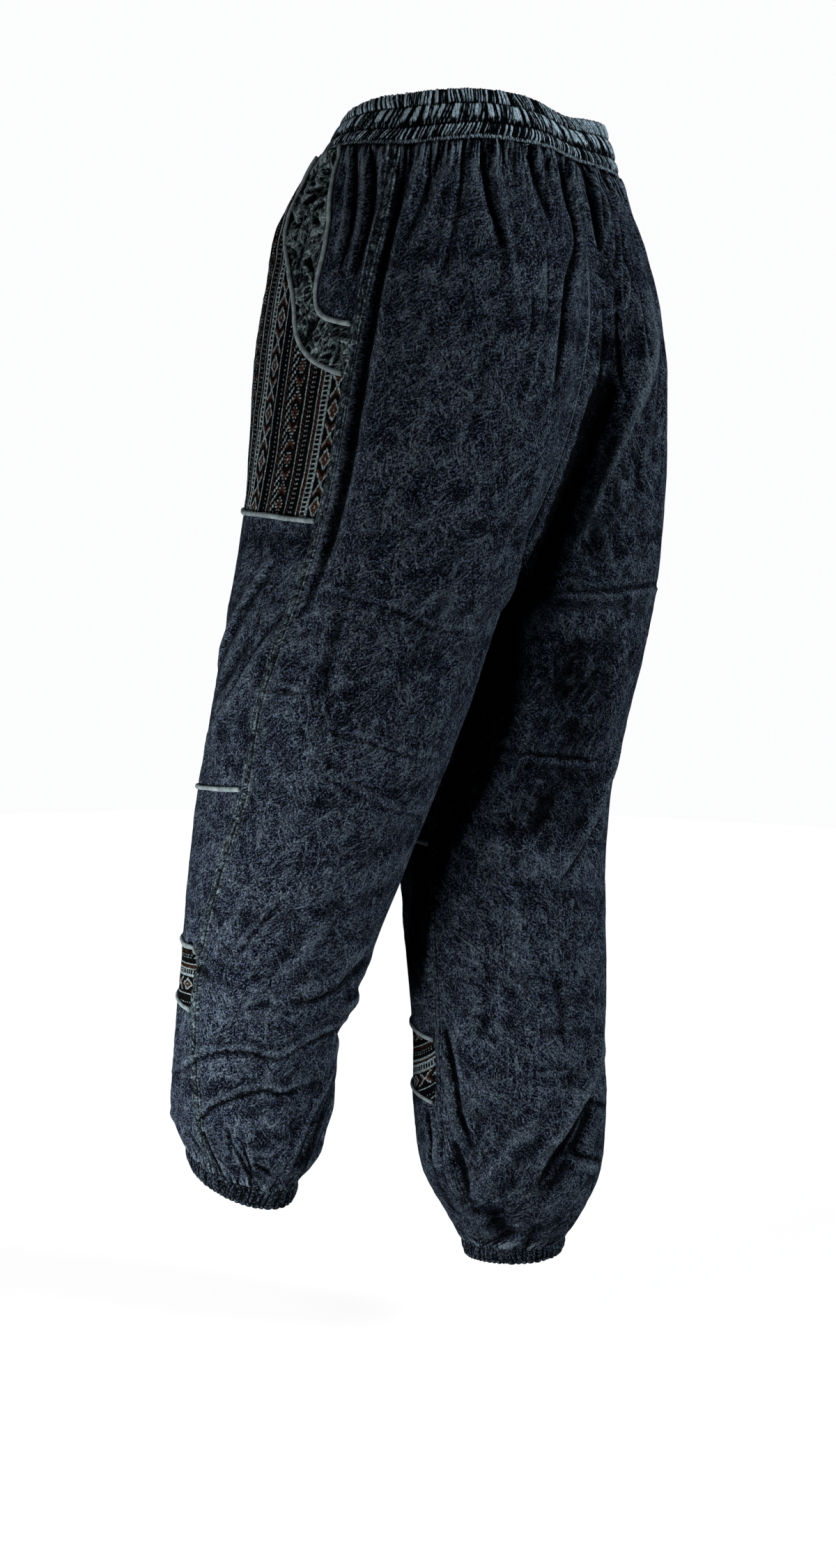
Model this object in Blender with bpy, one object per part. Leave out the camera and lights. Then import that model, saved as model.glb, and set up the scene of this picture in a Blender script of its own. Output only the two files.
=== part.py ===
"""Harem trousers with a gathered waistband and ankles, as separate sewn cloth walls.

Metres, +Z up. The front faces -Y and the wearer's left is +X. The origin is the middle
of the waistband's ring, which the wearer holds up.

Each half of the trousers is one smooth tube, given by a table of level sections. A place
on it is (share, height): share 0 is the centre front or the inseam, 0.5 the outseam and
1 the centre back or the inseam again. Panels are regions of that tube.
"""
import bpy
import bmesh
import numpy as np

# cloth and seams
WALL = 0.0017
SEAM_HALF = 0.00015
CORD_RADIUS = 0.0017
CORD_LIFT = 0.0004
CORD_SIDES = 4

# heights of the waistband and of the seams across each leg
BAND_TOP, BAND_BOTTOM = 0.022, -0.024
CROTCH, CROTCH_Y = -0.385, -0.012
CROTCH_CURVE, CROTCH_BLEND = 5.0, 0.16
BAND_SLOPE, BAND_SLOPE_END = 0.055, -0.30
# each leg seam's height at the inseam and at the outseam, named for the panel below it
SEAM_HEIGHTS = {
    "left": {"thigh": (-0.300, -0.312), "knee": (-0.575, -0.536), "patch": (-0.700, -0.690),
             "lower": (-0.756, -0.745), "cuff": (-0.905, -0.905)},
    "right": {"thigh": (-0.300, -0.316), "knee": (-0.604, -0.572), "patch": (-0.787, -0.765),
              "lower": (-0.846, -0.825), "cuff": (-0.986, -0.986)},
}
CUFF_HEIGHTS = {"left": 0.017, "right": 0.015}

# gathers: pleats round the band and each cuff, and columns across each panel
BAND_PLEATS = 84
CUFF_PLEATS = 24
FRONT_COLUMNS = 16
BACK_COLUMNS = 18
YOKE_COLUMNS = 6
FACING_COLUMNS = 3
WAIST_GATHER, WAIST_GATHER_LENGTH = 0.0036, 0.085
ANKLE_GATHER, ANKLE_GATHER_LENGTH = 0.0024, 0.045

# level sections of each half; y_out is the outseam's place, apex the share of the width
# where the front is deepest, dip the step in at the centre seam, and full the roundness
# of each quarter
SECTION_COLUMNS = ("z", "x_in", "x_out", "y_front", "y_back", "y_out", "apex", "dip_f", "dip_b", "full")
SECTIONS = {
    "left": [
        (0.022, 0.000, 0.129, -0.081, 0.098, 0.031, 0.02, 0.000, 0.000, 0.56),
        (-0.024, 0.000, 0.137, -0.110, 0.115, 0.037, 0.08, 0.001, 0.002, 0.57),
        (-0.060, 0.000, 0.153, -0.149, 0.126, 0.041, 0.12, 0.004, 0.003, 0.57),
        (-0.110, 0.000, 0.167, -0.152, 0.142, 0.040, 0.22, 0.007, 0.011, 0.58),
        (-0.165, 0.000, 0.174, -0.151, 0.149, 0.034, 0.34, 0.008, 0.016, 0.59),
        (-0.225, 0.000, 0.181, -0.146, 0.143, 0.028, 0.41, 0.010, 0.019, 0.59),
        (-0.290, 0.000, 0.187, -0.140, 0.129, 0.018, 0.46, 0.011, 0.020, 0.60),
        (-0.350, 0.000, 0.191, -0.143, 0.109, 0.000, 0.50, 0.012, 0.018, 0.60),
        (-0.410, 0.002, 0.194, -0.152, 0.084, -0.026, 0.50, 0.010, 0.022, 0.60),
        (-0.470, 0.005, 0.194, -0.165, 0.064, -0.050, 0.50, 0.010, 0.022, 0.60),
        (-0.536, 0.009, 0.194, -0.179, 0.038, -0.064, 0.50, 0.010, 0.022, 0.59),
        (-0.603, 0.014, 0.192, -0.189, 0.008, -0.088, 0.50, 0.010, 0.022, 0.59),
        (-0.670, 0.018, 0.188, -0.196, -0.024, -0.110, 0.50, 0.010, 0.022, 0.59),
        (-0.728, 0.021, 0.183, -0.203, -0.052, -0.125, 0.50, 0.010, 0.022, 0.59),
        (-0.785, 0.025, 0.176, -0.214, -0.071, -0.136, 0.50, 0.010, 0.022, 0.59),
        (-0.838, 0.029, 0.168, -0.225, -0.079, -0.146, 0.50, 0.010, 0.022, 0.59),
        (-0.876, 0.041, 0.152, -0.238, -0.085, -0.156, 0.50, 0.010, 0.022, 0.59),
        (-0.905, 0.051, 0.137, -0.228, -0.110, -0.162, 0.50, 0.010, 0.022, 0.57),
        (-0.922, 0.052, 0.136, -0.223, -0.115, -0.163, 0.50, 0.010, 0.022, 0.57),
    ],
    "right": [
        (0.022, 0.000, 0.129, -0.081, 0.098, 0.031, 0.02, 0.000, 0.000, 0.56),
        (-0.024, 0.000, 0.137, -0.110, 0.115, 0.037, 0.08, 0.001, 0.002, 0.57),
        (-0.060, 0.000, 0.152, -0.146, 0.127, 0.041, 0.12, 0.001, 0.004, 0.57),
        (-0.110, 0.000, 0.166, -0.147, 0.141, 0.040, 0.22, 0.002, 0.010, 0.58),
        (-0.165, 0.000, 0.173, -0.145, 0.145, 0.036, 0.34, 0.002, 0.012, 0.59),
        (-0.225, 0.000, 0.181, -0.142, 0.142, 0.034, 0.41, 0.006, 0.018, 0.59),
        (-0.290, 0.000, 0.187, -0.138, 0.135, 0.030, 0.46, 0.009, 0.026, 0.60),
        (-0.350, 0.000, 0.191, -0.136, 0.127, 0.026, 0.50, 0.007, 0.034, 0.60),
        (-0.410, 0.002, 0.194, -0.133, 0.115, 0.020, 0.50, 0.010, 0.026, 0.60),
        (-0.470, 0.004, 0.194, -0.129, 0.099, 0.013, 0.50, 0.010, 0.026, 0.60),
        (-0.537, 0.007, 0.194, -0.124, 0.080, 0.006, 0.50, 0.010, 0.026, 0.59),
        (-0.604, 0.010, 0.192, -0.119, 0.073, -0.001, 0.50, 0.010, 0.026, 0.59),
        (-0.672, 0.013, 0.188, -0.112, 0.076, -0.006, 0.50, 0.010, 0.026, 0.59),
        (-0.739, 0.016, 0.184, -0.103, 0.081, -0.008, 0.50, 0.010, 0.026, 0.59),
        (-0.806, 0.017, 0.180, -0.094, 0.084, -0.007, 0.50, 0.010, 0.026, 0.59),
        (-0.874, 0.018, 0.178, -0.092, 0.088, -0.005, 0.50, 0.010, 0.026, 0.59),
        (-0.927, 0.026, 0.168, -0.084, 0.084, -0.004, 0.50, 0.010, 0.026, 0.58),
        (-0.965, 0.046, 0.150, -0.062, 0.068, -0.003, 0.50, 0.010, 0.026, 0.58),
        (-0.986, 0.053, 0.142, -0.045, 0.054, -0.002, 0.50, 0.010, 0.026, 0.57),
        (-1.001, 0.054, 0.141, -0.041, 0.051, -0.002, 0.50, 0.010, 0.026, 0.57),
    ],
}
# how far the waistband's upper and lower edges are raised, as it rides up at the sides and
# dips at the seat; below the band the raise fades out
BAND_LIFT_COLUMNS = ("share", "top", "bottom")
BAND_LIFTS = {
    "left": [
        (1.00, -0.0089, -0.0012), (0.95, -0.0063, 0.0000), (0.90, -0.0024, 0.0036), (0.85, 0.0005, 0.0057),
        (0.80, 0.0018, 0.0068), (0.70, 0.0030, 0.0084), (0.60, 0.0018, 0.0068), (0.50, 0.0000, 0.0062),
        (0.45, 0.0000, 0.0088), (0.40, -0.0015, 0.0122), (0.33, -0.0030, 0.0138), (0.22, -0.0030, 0.0120),
        (0.10, -0.0020, 0.0050), (0.00, -0.0015, 0.0020),
    ],
    "right": [
        (1.00, -0.0089, -0.0012), (0.96, -0.0088, -0.0026), (0.91, -0.0076, -0.0031), (0.85, -0.0058, -0.0034),
        (0.78, -0.0038, -0.0028), (0.65, 0.0000, 0.0000), (0.50, 0.0000, 0.0025), (0.33, -0.0015, 0.0045),
        (0.22, -0.0020, 0.0045), (0.10, -0.0020, 0.0030), (0.00, -0.0015, 0.0020),
    ],
}
BAND_LIFT_END = -0.075
# how far each section's front edge is raised above its middle as the shin leans: (z, raise)
LEANS = {
    "left": [(-0.50, 0.000), (-0.60, 0.004), (-0.69, 0.010), (-0.84, 0.014), (-0.922, 0.016)],
    "right": [(-0.90, 0.000), (-1.001, -0.004)],
}
# how far forward of the leg's middle the inseam runs: (z, forward)
INSEAMS = {
    "left": [(-0.45, 0.0), (-0.80, 0.012), (-0.90, 0.004)],
    "right": [(-0.45, 0.0), (-0.70, 0.020), (-0.85, 0.026), (-0.98, 0.006)],
}
# the largest folds: three places that each passes, how far it stands out (or in, below
# zero) and its half width
FOLD_COLUMNS = ("share0", "z0", "share1", "z1", "share2", "z2", "height", "width")
FOLDS = {
    "left": [
        (0.600, -0.020, 0.580, -0.084, 0.545, -0.160, 0.0030, 0.013),
        (0.700, -0.030, 0.715, -0.080, 0.740, -0.140, 0.0030, 0.014),
        (0.860, -0.030, 0.850, -0.090, 0.870, -0.150, 0.0028, 0.013),
        (0.413, -0.342, 0.370, -0.430, 0.345, -0.505, -0.0045, 0.022),
        (0.290, -0.360, 0.270, -0.440, 0.250, -0.520, -0.0040, 0.024),
        (0.562, -0.440, 0.565, -0.510, 0.555, -0.590, 0.0040, 0.020),
        (0.700, -0.560, 0.640, -0.640, 0.560, -0.690, 0.0035, 0.018),
        (0.660, -0.724, 0.740, -0.714, 0.775, -0.694, -0.0050, 0.013),
        (0.790, -0.700, 0.860, -0.690, 0.960, -0.695, 0.0060, 0.018),
        (0.800, -0.738, 0.880, -0.736, 0.980, -0.738, -0.0080, 0.014),
        (0.410, -0.816, 0.560, -0.776, 0.812, -0.766, -0.0065, 0.013),
        (0.430, -0.780, 0.590, -0.752, 0.760, -0.745, 0.0050, 0.017),
        (0.460, -0.866, 0.600, -0.806, 0.775, -0.806, -0.0055, 0.013),
        (0.850, -0.794, 0.775, -0.824, 0.715, -0.890, 0.0065, 0.014),
        (0.910, -0.800, 0.830, -0.835, 0.770, -0.890, -0.0065, 0.014),
        (0.250, -0.770, 0.180, -0.760, 0.080, -0.765, -0.0050, 0.015),
        (0.330, -0.830, 0.220, -0.815, 0.100, -0.825, -0.0045, 0.015),
    ],
    "right": [
        (0.640, -0.030, 0.630, -0.080, 0.610, -0.140, 0.0028, 0.013),
        (0.860, -0.030, 0.850, -0.090, 0.840, -0.150, 0.0030, 0.013),
        (0.790, -0.120, 0.840, -0.190, 0.890, -0.265, 0.0070, 0.017),
        (0.890, -0.265, 0.905, -0.300, 0.920, -0.340, 0.0050, 0.016),
        (0.880, -0.150, 0.915, -0.230, 0.945, -0.300, -0.0060, 0.017),
        (0.740, -0.300, 0.700, -0.380, 0.690, -0.460, 0.0035, 0.020),
        (0.695, -0.550, 0.730, -0.585, 0.805, -0.634, -0.0060, 0.014),
        (0.720, -0.530, 0.765, -0.565, 0.840, -0.610, 0.0050, 0.018),
        (0.840, -0.650, 0.835, -0.710, 0.820, -0.780, 0.0040, 0.016),
        (0.665, -0.770, 0.755, -0.805, 0.850, -0.870, 0.0075, 0.019),
        (0.700, -0.806, 0.770, -0.836, 0.860, -0.905, -0.0085, 0.015),
        (0.940, -0.920, 0.940, -0.940, 0.945, -0.962, -0.0060, 0.012),
        (0.060, -0.870, 0.085, -0.915, 0.120, -0.960, 0.0040, 0.013),
        (0.240, -0.400, 0.200, -0.490, 0.160, -0.560, -0.0040, 0.018),
        (0.420, -0.430, 0.440, -0.510, 0.450, -0.580, -0.0040, 0.018),
        (0.300, -0.640, 0.360, -0.690, 0.440, -0.740, -0.0040, 0.017),
        (0.330, -0.890, 0.420, -0.900, 0.520, -0.930, -0.0060, 0.015),
    ],
}
FOLD_END = 0.18

# the pocket's two curved edges, from the waist down and round to the outseam: (share, z)
MOUTH_SIDE = [(0.365, -0.024), (0.384, -0.040), (0.397, -0.058), (0.407, -0.078), (0.411, -0.099),
              (0.408, -0.120), (0.414, -0.139)]
MOUTH_FOOT = [(0.424, -0.147), (0.438, -0.1515), (0.453, -0.154), (0.468, -0.156), (0.484, -0.157),
              (0.500, -0.158)]
OUTER_SIDE = [(0.275, -0.024), (0.284, -0.044), (0.298, -0.066), (0.318, -0.089), (0.344, -0.113),
              (0.368, -0.136), (0.381, -0.158)]
OUTER_FOOT = [(0.393, -0.168), (0.408, -0.177), (0.427, -0.1845), (0.449, -0.190), (0.474, -0.195),
              (0.500, -0.198)]

# rows below the waistband, and how many strips lie above each seam further down
HIP_ROWS = [-0.024, -0.040, -0.058, -0.080, -0.105, -0.130, -0.158, -0.1713, -0.1847, -0.198]
STRIPS = {"thigh": 3, "knee": 6, "patch": 4, "lower": 2, "cuff": 5}

# across the waistband: (z, how far it stands out, how deep its pleats are)
BAND_PROFILE = [
    (0.0220, 0.0000, 0.0002), (0.0155, 0.0013, 0.0006), (0.0095, 0.0000, 0.0002),
    (0.0035, 0.0018, 0.0008), (-0.0035, 0.0018, 0.0008), (-0.0095, 0.0000, 0.0002),
    (-0.0145, 0.0013, 0.0006), (-0.0195, 0.0000, 0.0002), (-0.0240, 0.0004, 0.0004),
]
BAND_INNER = 0.0014
# across each cuff: (share of its height, how far it stands out, how deep its pleats are)
CUFF_PROFILE = [(0.0, 0.0002, 0.0004), (0.3, 0.0012, 0.0008), (0.7, 0.0012, 0.0008), (1.0, 0.0000, 0.0004)]

# the front pieces below the woven panel: upper seam, lower seam, name, cloth and top cord
FRONT_PIECES = [
    ("thigh", "knee", "thigh_panel", "plain", "woven_edge"),
    ("knee", "patch", "knee_panel", "plain", "knee"),
    ("patch", "lower", "shin_patch", "woven", "patch_top"),
    ("lower", "cuff", "lower_panel", "plain", "patch_foot"),
]

BASE_ROWS, BASE_COLUMNS = 160, 128

COLORS = {
    "plain": ((0.030, 0.044, 0.058, 1.0), 0.88),
    "woven": ((0.045, 0.036, 0.034, 1.0), 0.90),
    "band": ((0.052, 0.078, 0.088, 1.0), 0.86),
    "facing": ((0.034, 0.048, 0.058, 1.0), 0.88),
    "piping": ((0.220, 0.270, 0.280, 1.0), 0.75),
}


def ease(amount):
    """Rise smoothly from 0 to 1."""
    amount = np.clip(amount, 0.0, 1.0)
    return amount * amount * (3.0 - 2.0 * amount)


def section(table, z, columns=SECTION_COLUMNS):
    """A table's named columns at one height or share, joined by smooth curves."""
    knots = table[:, 0]
    slopes = np.gradient(table, knots, axis=0)
    i = int(np.clip(np.searchsorted(-knots, -z, side="right") - 1, 0, len(knots) - 2))
    step = knots[i + 1] - knots[i]
    t = (np.clip(z, knots[-1], knots[0]) - knots[i]) / step
    values = ((1 + 2 * t) * (1 - t) ** 2 * table[i] + t * (1 - t) ** 2 * step * slopes[i]
              + t * t * (3 - 2 * t) * table[i + 1] + t * t * (t - 1) * step * slopes[i + 1])
    return dict(zip(columns, values))


def curve(start, leave, arrive, end, count=24):
    """Points along one cubic curve."""
    t = np.linspace(0.0, 1.0, count)[:, None]
    start, leave, arrive, end = (np.array(p) for p in (start, leave, arrive, end))
    return ((1 - t) ** 3 * start + 3 * t * (1 - t) ** 2 * leave
            + 3 * t * t * (1 - t) * arrive + t ** 3 * end)


def line_lengths(points):
    """How far along a line each of its points lies."""
    return np.r_[0.0, np.cumsum(np.linalg.norm(np.diff(points, axis=0), axis=1))]


def level_ring(cut, forward, z, shares):
    """One half's level section: its points in x and y."""
    x_in, x_out, full = cut["x_in"], cut["x_out"], cut["full"]
    y_front, y_back = cut["y_front"], cut["y_back"]
    y_wide, half_depth = 0.5 * (y_front + y_back), 0.5 * (y_back - y_front)
    below = ease((CROTCH - z) / CROTCH_BLEND)
    y_in = CROTCH_Y * (1 - below) + (y_wide - forward) * below
    open_share = 0.0
    if z > CROTCH:
        fallen = np.clip((BAND_TOP - z) / (BAND_TOP - CROTCH), 0.0, 1.0)
        open_share = np.sqrt(1.0 - fallen ** CROTCH_CURVE)
    x_apex = x_in + cut["apex"] * (x_out - x_in)
    y_cf = y_in + (y_front + cut["dip_f"] - y_in) * open_share
    y_cb = y_in + (y_back - cut["dip_b"] - y_in) * open_share
    across = open_share ** 1.5
    head_x, head_y = np.array([across, 1.0 - across]) / np.hypot(across, 1.0 - across)
    reach_f = full * (head_y * (y_cf - y_front) + head_x * (x_apex - x_in))
    reach_b = full * (head_y * (y_back - y_cb) + head_x * (x_apex - x_in))
    bend_in, bend_out = full * (x_apex - x_in), full * (x_out - x_apex)
    quarters = [
        curve((x_in, y_cf), (x_in + head_x * reach_f, y_cf - head_y * reach_f),
              (x_apex - bend_in, y_front), (x_apex, y_front)),
        curve((x_apex, y_front), (x_apex + bend_out, y_front),
              (x_out, y_wide - full * half_depth), (x_out, y_wide))[1:],
        curve((x_out, y_wide), (x_out, y_wide + full * half_depth),
              (x_apex + bend_out, y_back), (x_apex, y_back))[1:],
        curve((x_apex, y_back), (x_apex - bend_in, y_back),
              (x_in + head_x * reach_b, y_cb + head_y * reach_b), (x_in, y_cb))[1:]]
    ring = np.vstack(quarters)
    lengths = line_lengths(ring)
    first, last = len(quarters[0]) - 1, len(ring) - len(quarters[3])
    seam = np.interp(cut["y_out"], ring[first:last, 1], lengths[first:last])
    at = np.interp(shares, (0.0, 0.5, 1.0), (0.0, seam, lengths[-1]))
    return np.stack([np.interp(at, lengths, ring[:, k]) for k in range(2)], 1)


def band_lift(lifts, z):
    """How far each share's place is raised at one height, from its raises at the band's edges."""
    top, bottom = lifts["top"], lifts["bottom"]
    if z > BAND_BOTTOM:
        down = (BAND_TOP - z) / (BAND_TOP - BAND_BOTTOM)
        return top * (1 - down) + bottom * down
    return bottom * ease((z - BAND_LIFT_END) / (BAND_BOTTOM - BAND_LIFT_END))


class Half:
    """One half of the trousers: a smooth tube with its folds."""

    def __init__(self, side):
        self.side = side
        self.sign = 1.0 if side == "left" else -1.0
        table = np.array(SECTIONS[side])
        lean = np.array(LEANS[side])
        inseam = np.array(INSEAMS[side])
        band = np.array(BAND_LIFTS[side])
        self.folds = FOLDS[side]
        self.cuff_top = SEAM_HEIGHTS[side]["cuff"][0]
        self.heights = np.linspace(table[0, 0], table[-1, 0], BASE_ROWS + 1)
        self.shares = np.linspace(0.0, 1.0, BASE_COLUMNS + 1)
        places = np.zeros((BASE_ROWS + 1, BASE_COLUMNS + 1, 3))
        outward = np.zeros_like(places)
        lifts = [section(band, share, BAND_LIFT_COLUMNS) for share in self.shares]
        lifts = {name: np.array([lift[name] for lift in lifts]) for name in ("top", "bottom")}
        for i, z in enumerate(self.heights):
            cut = section(table, z)
            ring = level_ring(cut, np.interp(-z, -inseam[:, 0], inseam[:, 1]), z, self.shares)
            depth = cut["y_back"] - cut["y_front"]
            back_share = (2 * ring[:, 1] - cut["y_front"] - cut["y_back"]) / depth
            lift = -np.interp(-z, -lean[:, 0], lean[:, 1]) * back_share
            slope = BAND_SLOPE * ring[:, 1] * ease((z - BAND_SLOPE_END) / -BAND_SLOPE_END)
            raised = z + lift + slope + band_lift(lifts, z)
            places[i] = np.stack([ring[:, 0] * self.sign, ring[:, 1], raised], 1)
            along = np.gradient(places[i, :, :2], axis=0)
            normal = np.stack([along[:, 1], -along[:, 0]], 1) * self.sign
            outward[i, :, :2] = normal / np.linalg.norm(normal, axis=1)[:, None]
        self.places, self.outward = places, outward
        steps = np.linalg.norm(np.diff(places, axis=1), axis=2)
        self.girths = steps.sum(axis=1)

    def fold_depth(self, share, z):
        """How far all folds move a place out."""
        girth = np.interp(-z, -self.heights, self.girths)
        total = np.zeros_like(z)
        for row in self.folds:
            fold = dict(zip(FOLD_COLUMNS, row))
            nearest = np.full_like(z, 1e9)
            end_fade = np.ones_like(z)
            for k in (0, 1):
                run = (fold[f"share{k + 1}"] - fold[f"share{k}"]) * girth
                fall = fold[f"z{k + 1}"] - fold[f"z{k}"]
                over, down = (share - fold[f"share{k}"]) * girth, z - fold[f"z{k}"]
                held = np.clip((over * run + down * fall) / (run ** 2 + fall ** 2), 0.0, 1.0)
                away = np.hypot(over - held * run, down - held * fall)
                from_end = np.minimum(k + held, 2 - k - held) / 2.0
                closer = away < nearest
                nearest = np.where(closer, away, nearest)
                end_fade = np.where(closer, ease(from_end / FOLD_END), end_fade)
            total += fold["height"] * np.exp(-(nearest / fold["width"]) ** 2) * (0.25 + 0.75 * end_fade)
        return total

    def at(self, share, z, gather=0.0):
        """Outer places, and the level directions out of them, with folds and gathers."""
        row = np.clip((z - self.heights[0]) / (self.heights[-1] - self.heights[0]), 0, 1) * BASE_ROWS
        column = np.clip(share, 0, 1) * BASE_COLUMNS
        i = np.minimum(row.astype(int), BASE_ROWS - 1)
        j = np.minimum(column.astype(int), BASE_COLUMNS - 1)
        a, b = (row - i)[..., None], (column - j)[..., None]

        def blend(field):
            return ((1 - a) * (1 - b) * field[i, j] + (1 - a) * b * field[i, j + 1]
                    + a * (1 - b) * field[i + 1, j] + a * b * field[i + 1, j + 1])

        place, out = blend(self.places), blend(self.outward)
        out /= np.linalg.norm(out, axis=-1, keepdims=True)
        inner_leg = ease((np.abs(place[..., 0]) - 0.001) / 0.020)
        depth = (self.fold_depth(share, z) + gather) * inner_leg
        moved = place + out * depth[..., None]
        moved[..., 0] = self.sign * np.maximum(moved[..., 0] * self.sign, 2 * SEAM_HALF)
        return moved, out


def rows_of(side):
    """Heights of all rows at the inseam and the outseam, and where each seam falls among them."""
    rows = [(z, z) for z in HIP_ROWS]
    marks = {"hip": len(rows) - 1}
    for name, strips in STRIPS.items():
        rows += list(np.linspace(rows[-1], SEAM_HEIGHTS[side][name], strips + 1)[1:])
        marks[name] = len(rows) - 1
    return np.array(rows), marks


def sloping(rows, shares):
    """Each row's height over a grid of shares."""
    out_share = 1.0 - np.abs(2.0 * shares - 1.0)
    return rows[:, :1] * (1 - out_share) + rows[:, 1:] * out_share


def gather_wave(shares, heights, cuff_top):
    """Gathers on alternate columns under the waistband and above the ankle."""
    columns = shares.shape[1]
    wave = np.where(np.arange(columns) % 2 == 0, -1.0, 1.0)
    wave[0] = wave[-1] = 0.0
    uneven = 1.0 + 0.25 * np.sin(2.4 * np.arange(columns))
    waist = WAIST_GATHER * ease(1 - (BAND_BOTTOM - heights) / (WAIST_GATHER_LENGTH * uneven))
    ankle = ANKLE_GATHER * ease(1 - (heights - cuff_top) / (ANKLE_GATHER_LENGTH * uneven))
    return (waist + ankle) * wave * uneven


def make_object(name, vertices, faces, material):
    """A closed body with its faces pointing out."""
    mesh = bpy.data.meshes.new(name)
    mesh.from_pydata([tuple(v) for v in vertices], [], faces)
    work = bmesh.new()
    work.from_mesh(mesh)
    bmesh.ops.remove_doubles(work, verts=work.verts, dist=1e-6)
    bmesh.ops.triangulate(work, faces=work.faces, quad_method="SHORT_EDGE")
    bmesh.ops.recalc_face_normals(work, faces=work.faces)
    work.to_mesh(mesh)
    work.free()
    mesh.shade_smooth()
    mesh.set_sharp_from_angle(angle=np.radians(50.0))
    mesh.materials.append(material)
    bpy.context.scene.collection.objects.link(bpy.data.objects.new(name, mesh))


def pulled_in(places):
    """Move a panel's edges half a seam's gap towards its middle."""
    result = places.copy()

    def pull(edge, neighbour):
        way = neighbour - edge
        size = np.linalg.norm(way, axis=-1, keepdims=True)
        return edge + way / size * SEAM_HALF

    result[0] = pull(places[0], places[1])
    result[-1] = pull(places[-1], places[-2])
    result[:, 0] += pull(places[:, 0], places[:, 1]) - places[:, 0]
    result[:, -1] += pull(places[:, -1], places[:, -2]) - places[:, -1]
    return result


def panel(name, half, shares, heights, gather, material):
    """A cloth wall over a grid of places."""
    places, out = half.at(shares, heights, gather)
    outer = pulled_in(places)
    inner = outer - out * WALL
    inner[..., 0] = half.sign * np.maximum(inner[..., 0] * half.sign, SEAM_HALF)
    rows, columns = shares.shape
    vertices = np.concatenate([outer.reshape(-1, 3), inner.reshape(-1, 3)])
    count = rows * columns
    faces = []
    for i in range(rows - 1):
        for j in range(columns - 1):
            a, b = i * columns + j, (i + 1) * columns + j
            faces.append((a, b, b + 1, a + 1))
            faces.append((a + count, a + 1 + count, b + 1 + count, b + count))
    numbers = np.arange(count).reshape(rows, columns)
    rim = [*numbers[0], *numbers[1:, -1], *numbers[-1, -2::-1], *numbers[-2:0:-1, 0]]
    for a, b in zip(rim, rim[1:] + rim[:1]):
        faces.append((a, b, b + count, a + count))
    make_object(name, vertices, faces, material)
    return places, out


def cord(name, places, out, material):
    """A round cord laid over a line of a panel's places."""
    centres = places + out * (CORD_RADIUS + CORD_LIFT)
    tangents = np.gradient(centres, axis=0)
    tangents /= np.linalg.norm(tangents, axis=1)[:, None]
    sideways = np.cross(tangents, out)
    sideways /= np.linalg.norm(sideways, axis=1)[:, None]
    upward = np.cross(sideways, tangents)
    vertices, faces = [], []
    for c, s, u in zip(centres, sideways, upward):
        for k in range(CORD_SIDES):
            turn = 2 * np.pi * (k + 0.5) / CORD_SIDES
            vertices.append(c + CORD_RADIUS * (np.cos(turn) * s + np.sin(turn) * u))
    for i in range(len(centres) - 1):
        for k in range(CORD_SIDES):
            a, b = i * CORD_SIDES + k, i * CORD_SIDES + (k + 1) % CORD_SIDES
            faces.append((a, b, b + CORD_SIDES, a + CORD_SIDES))
    last = (len(centres) - 1) * CORD_SIDES
    faces.append(tuple(range(CORD_SIDES)))
    faces.append(tuple(last + k for k in range(CORD_SIDES)))
    make_object(name, vertices, faces, material)


def pleated_ring(name, ring_at, profile, inner_step, pleats, material):
    """A closed ring whose outer side is pleated and whose inner side is plain."""
    columns = 2 * pleats
    wave = np.where(np.arange(columns) % 2 == 0, 1.0, -1.0)
    layers = []
    for z, stands_out, pleat in profile:
        places, out = ring_at(z, columns)
        layers.append(places + out * (stands_out + pleat * wave)[:, None])
    for z in (profile[-1][0], profile[0][0]):
        places, out = ring_at(z, columns)
        layers.append(places - out * inner_step)
    faces = []
    for i in range(len(layers)):
        here, below = i * columns, (i + 1) % len(layers) * columns
        for j in range(columns):
            beside = (j + 1) % columns
            faces.append((here + j, below + j, below + beside, here + beside))
    make_object(name, np.concatenate(layers), faces, material)


def full_ring(halves, z, columns):
    """Evenly spaced places round both halves at one height, with their outward ways."""
    shares = np.linspace(0.0, 1.0, 400)
    line, ways = [], []
    for half, order in ((halves["left"], slice(None)), (halves["right"], slice(None, None, -1))):
        places, out = half.at(shares, np.full_like(shares, z))
        line.append(places[order])
        ways.append(out[order])
    line, ways = np.concatenate(line), np.concatenate(ways)
    return closed_spread(line, ways, columns)


def closed_spread(line, ways, columns):
    """Even places on a closed line."""
    both = np.concatenate([line, ways], axis=1)
    both = np.concatenate([both, both[:1]])
    lengths = line_lengths(both[:, :3])
    at = np.arange(columns) / columns * lengths[-1]
    both = np.stack([np.interp(at, lengths, both[:, k]) for k in range(6)], 1)
    out = both[:, 3:] / np.linalg.norm(both[:, 3:], axis=1)[:, None]
    return both[:, :3], out


def leg_ring(half, z, columns):
    """Evenly spaced places round one ankle."""
    shares = np.linspace(0.0, 1.0, 400)[:-1]
    places, out = half.at(shares, np.full_like(shares, z))
    return closed_spread(places, out, columns)


def blend_grid(top, foot, left, right):
    """A grid inside four edges."""
    rows, columns = len(left), len(top)
    down = np.linspace(0.0, 1.0, rows)[:, None, None]
    over = np.linspace(0.0, 1.0, columns)[None, :, None]
    top, foot, left, right = (np.array(e) for e in (top, foot, left, right))
    corners = ((1 - down) * (1 - over) * top[0] + (1 - down) * over * top[-1]
               + down * (1 - over) * foot[0] + down * over * foot[-1])
    return ((1 - down) * top[None] + down * foot[None] + (1 - over) * left[:, None]
            + over * right[:, None] - corners)


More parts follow.
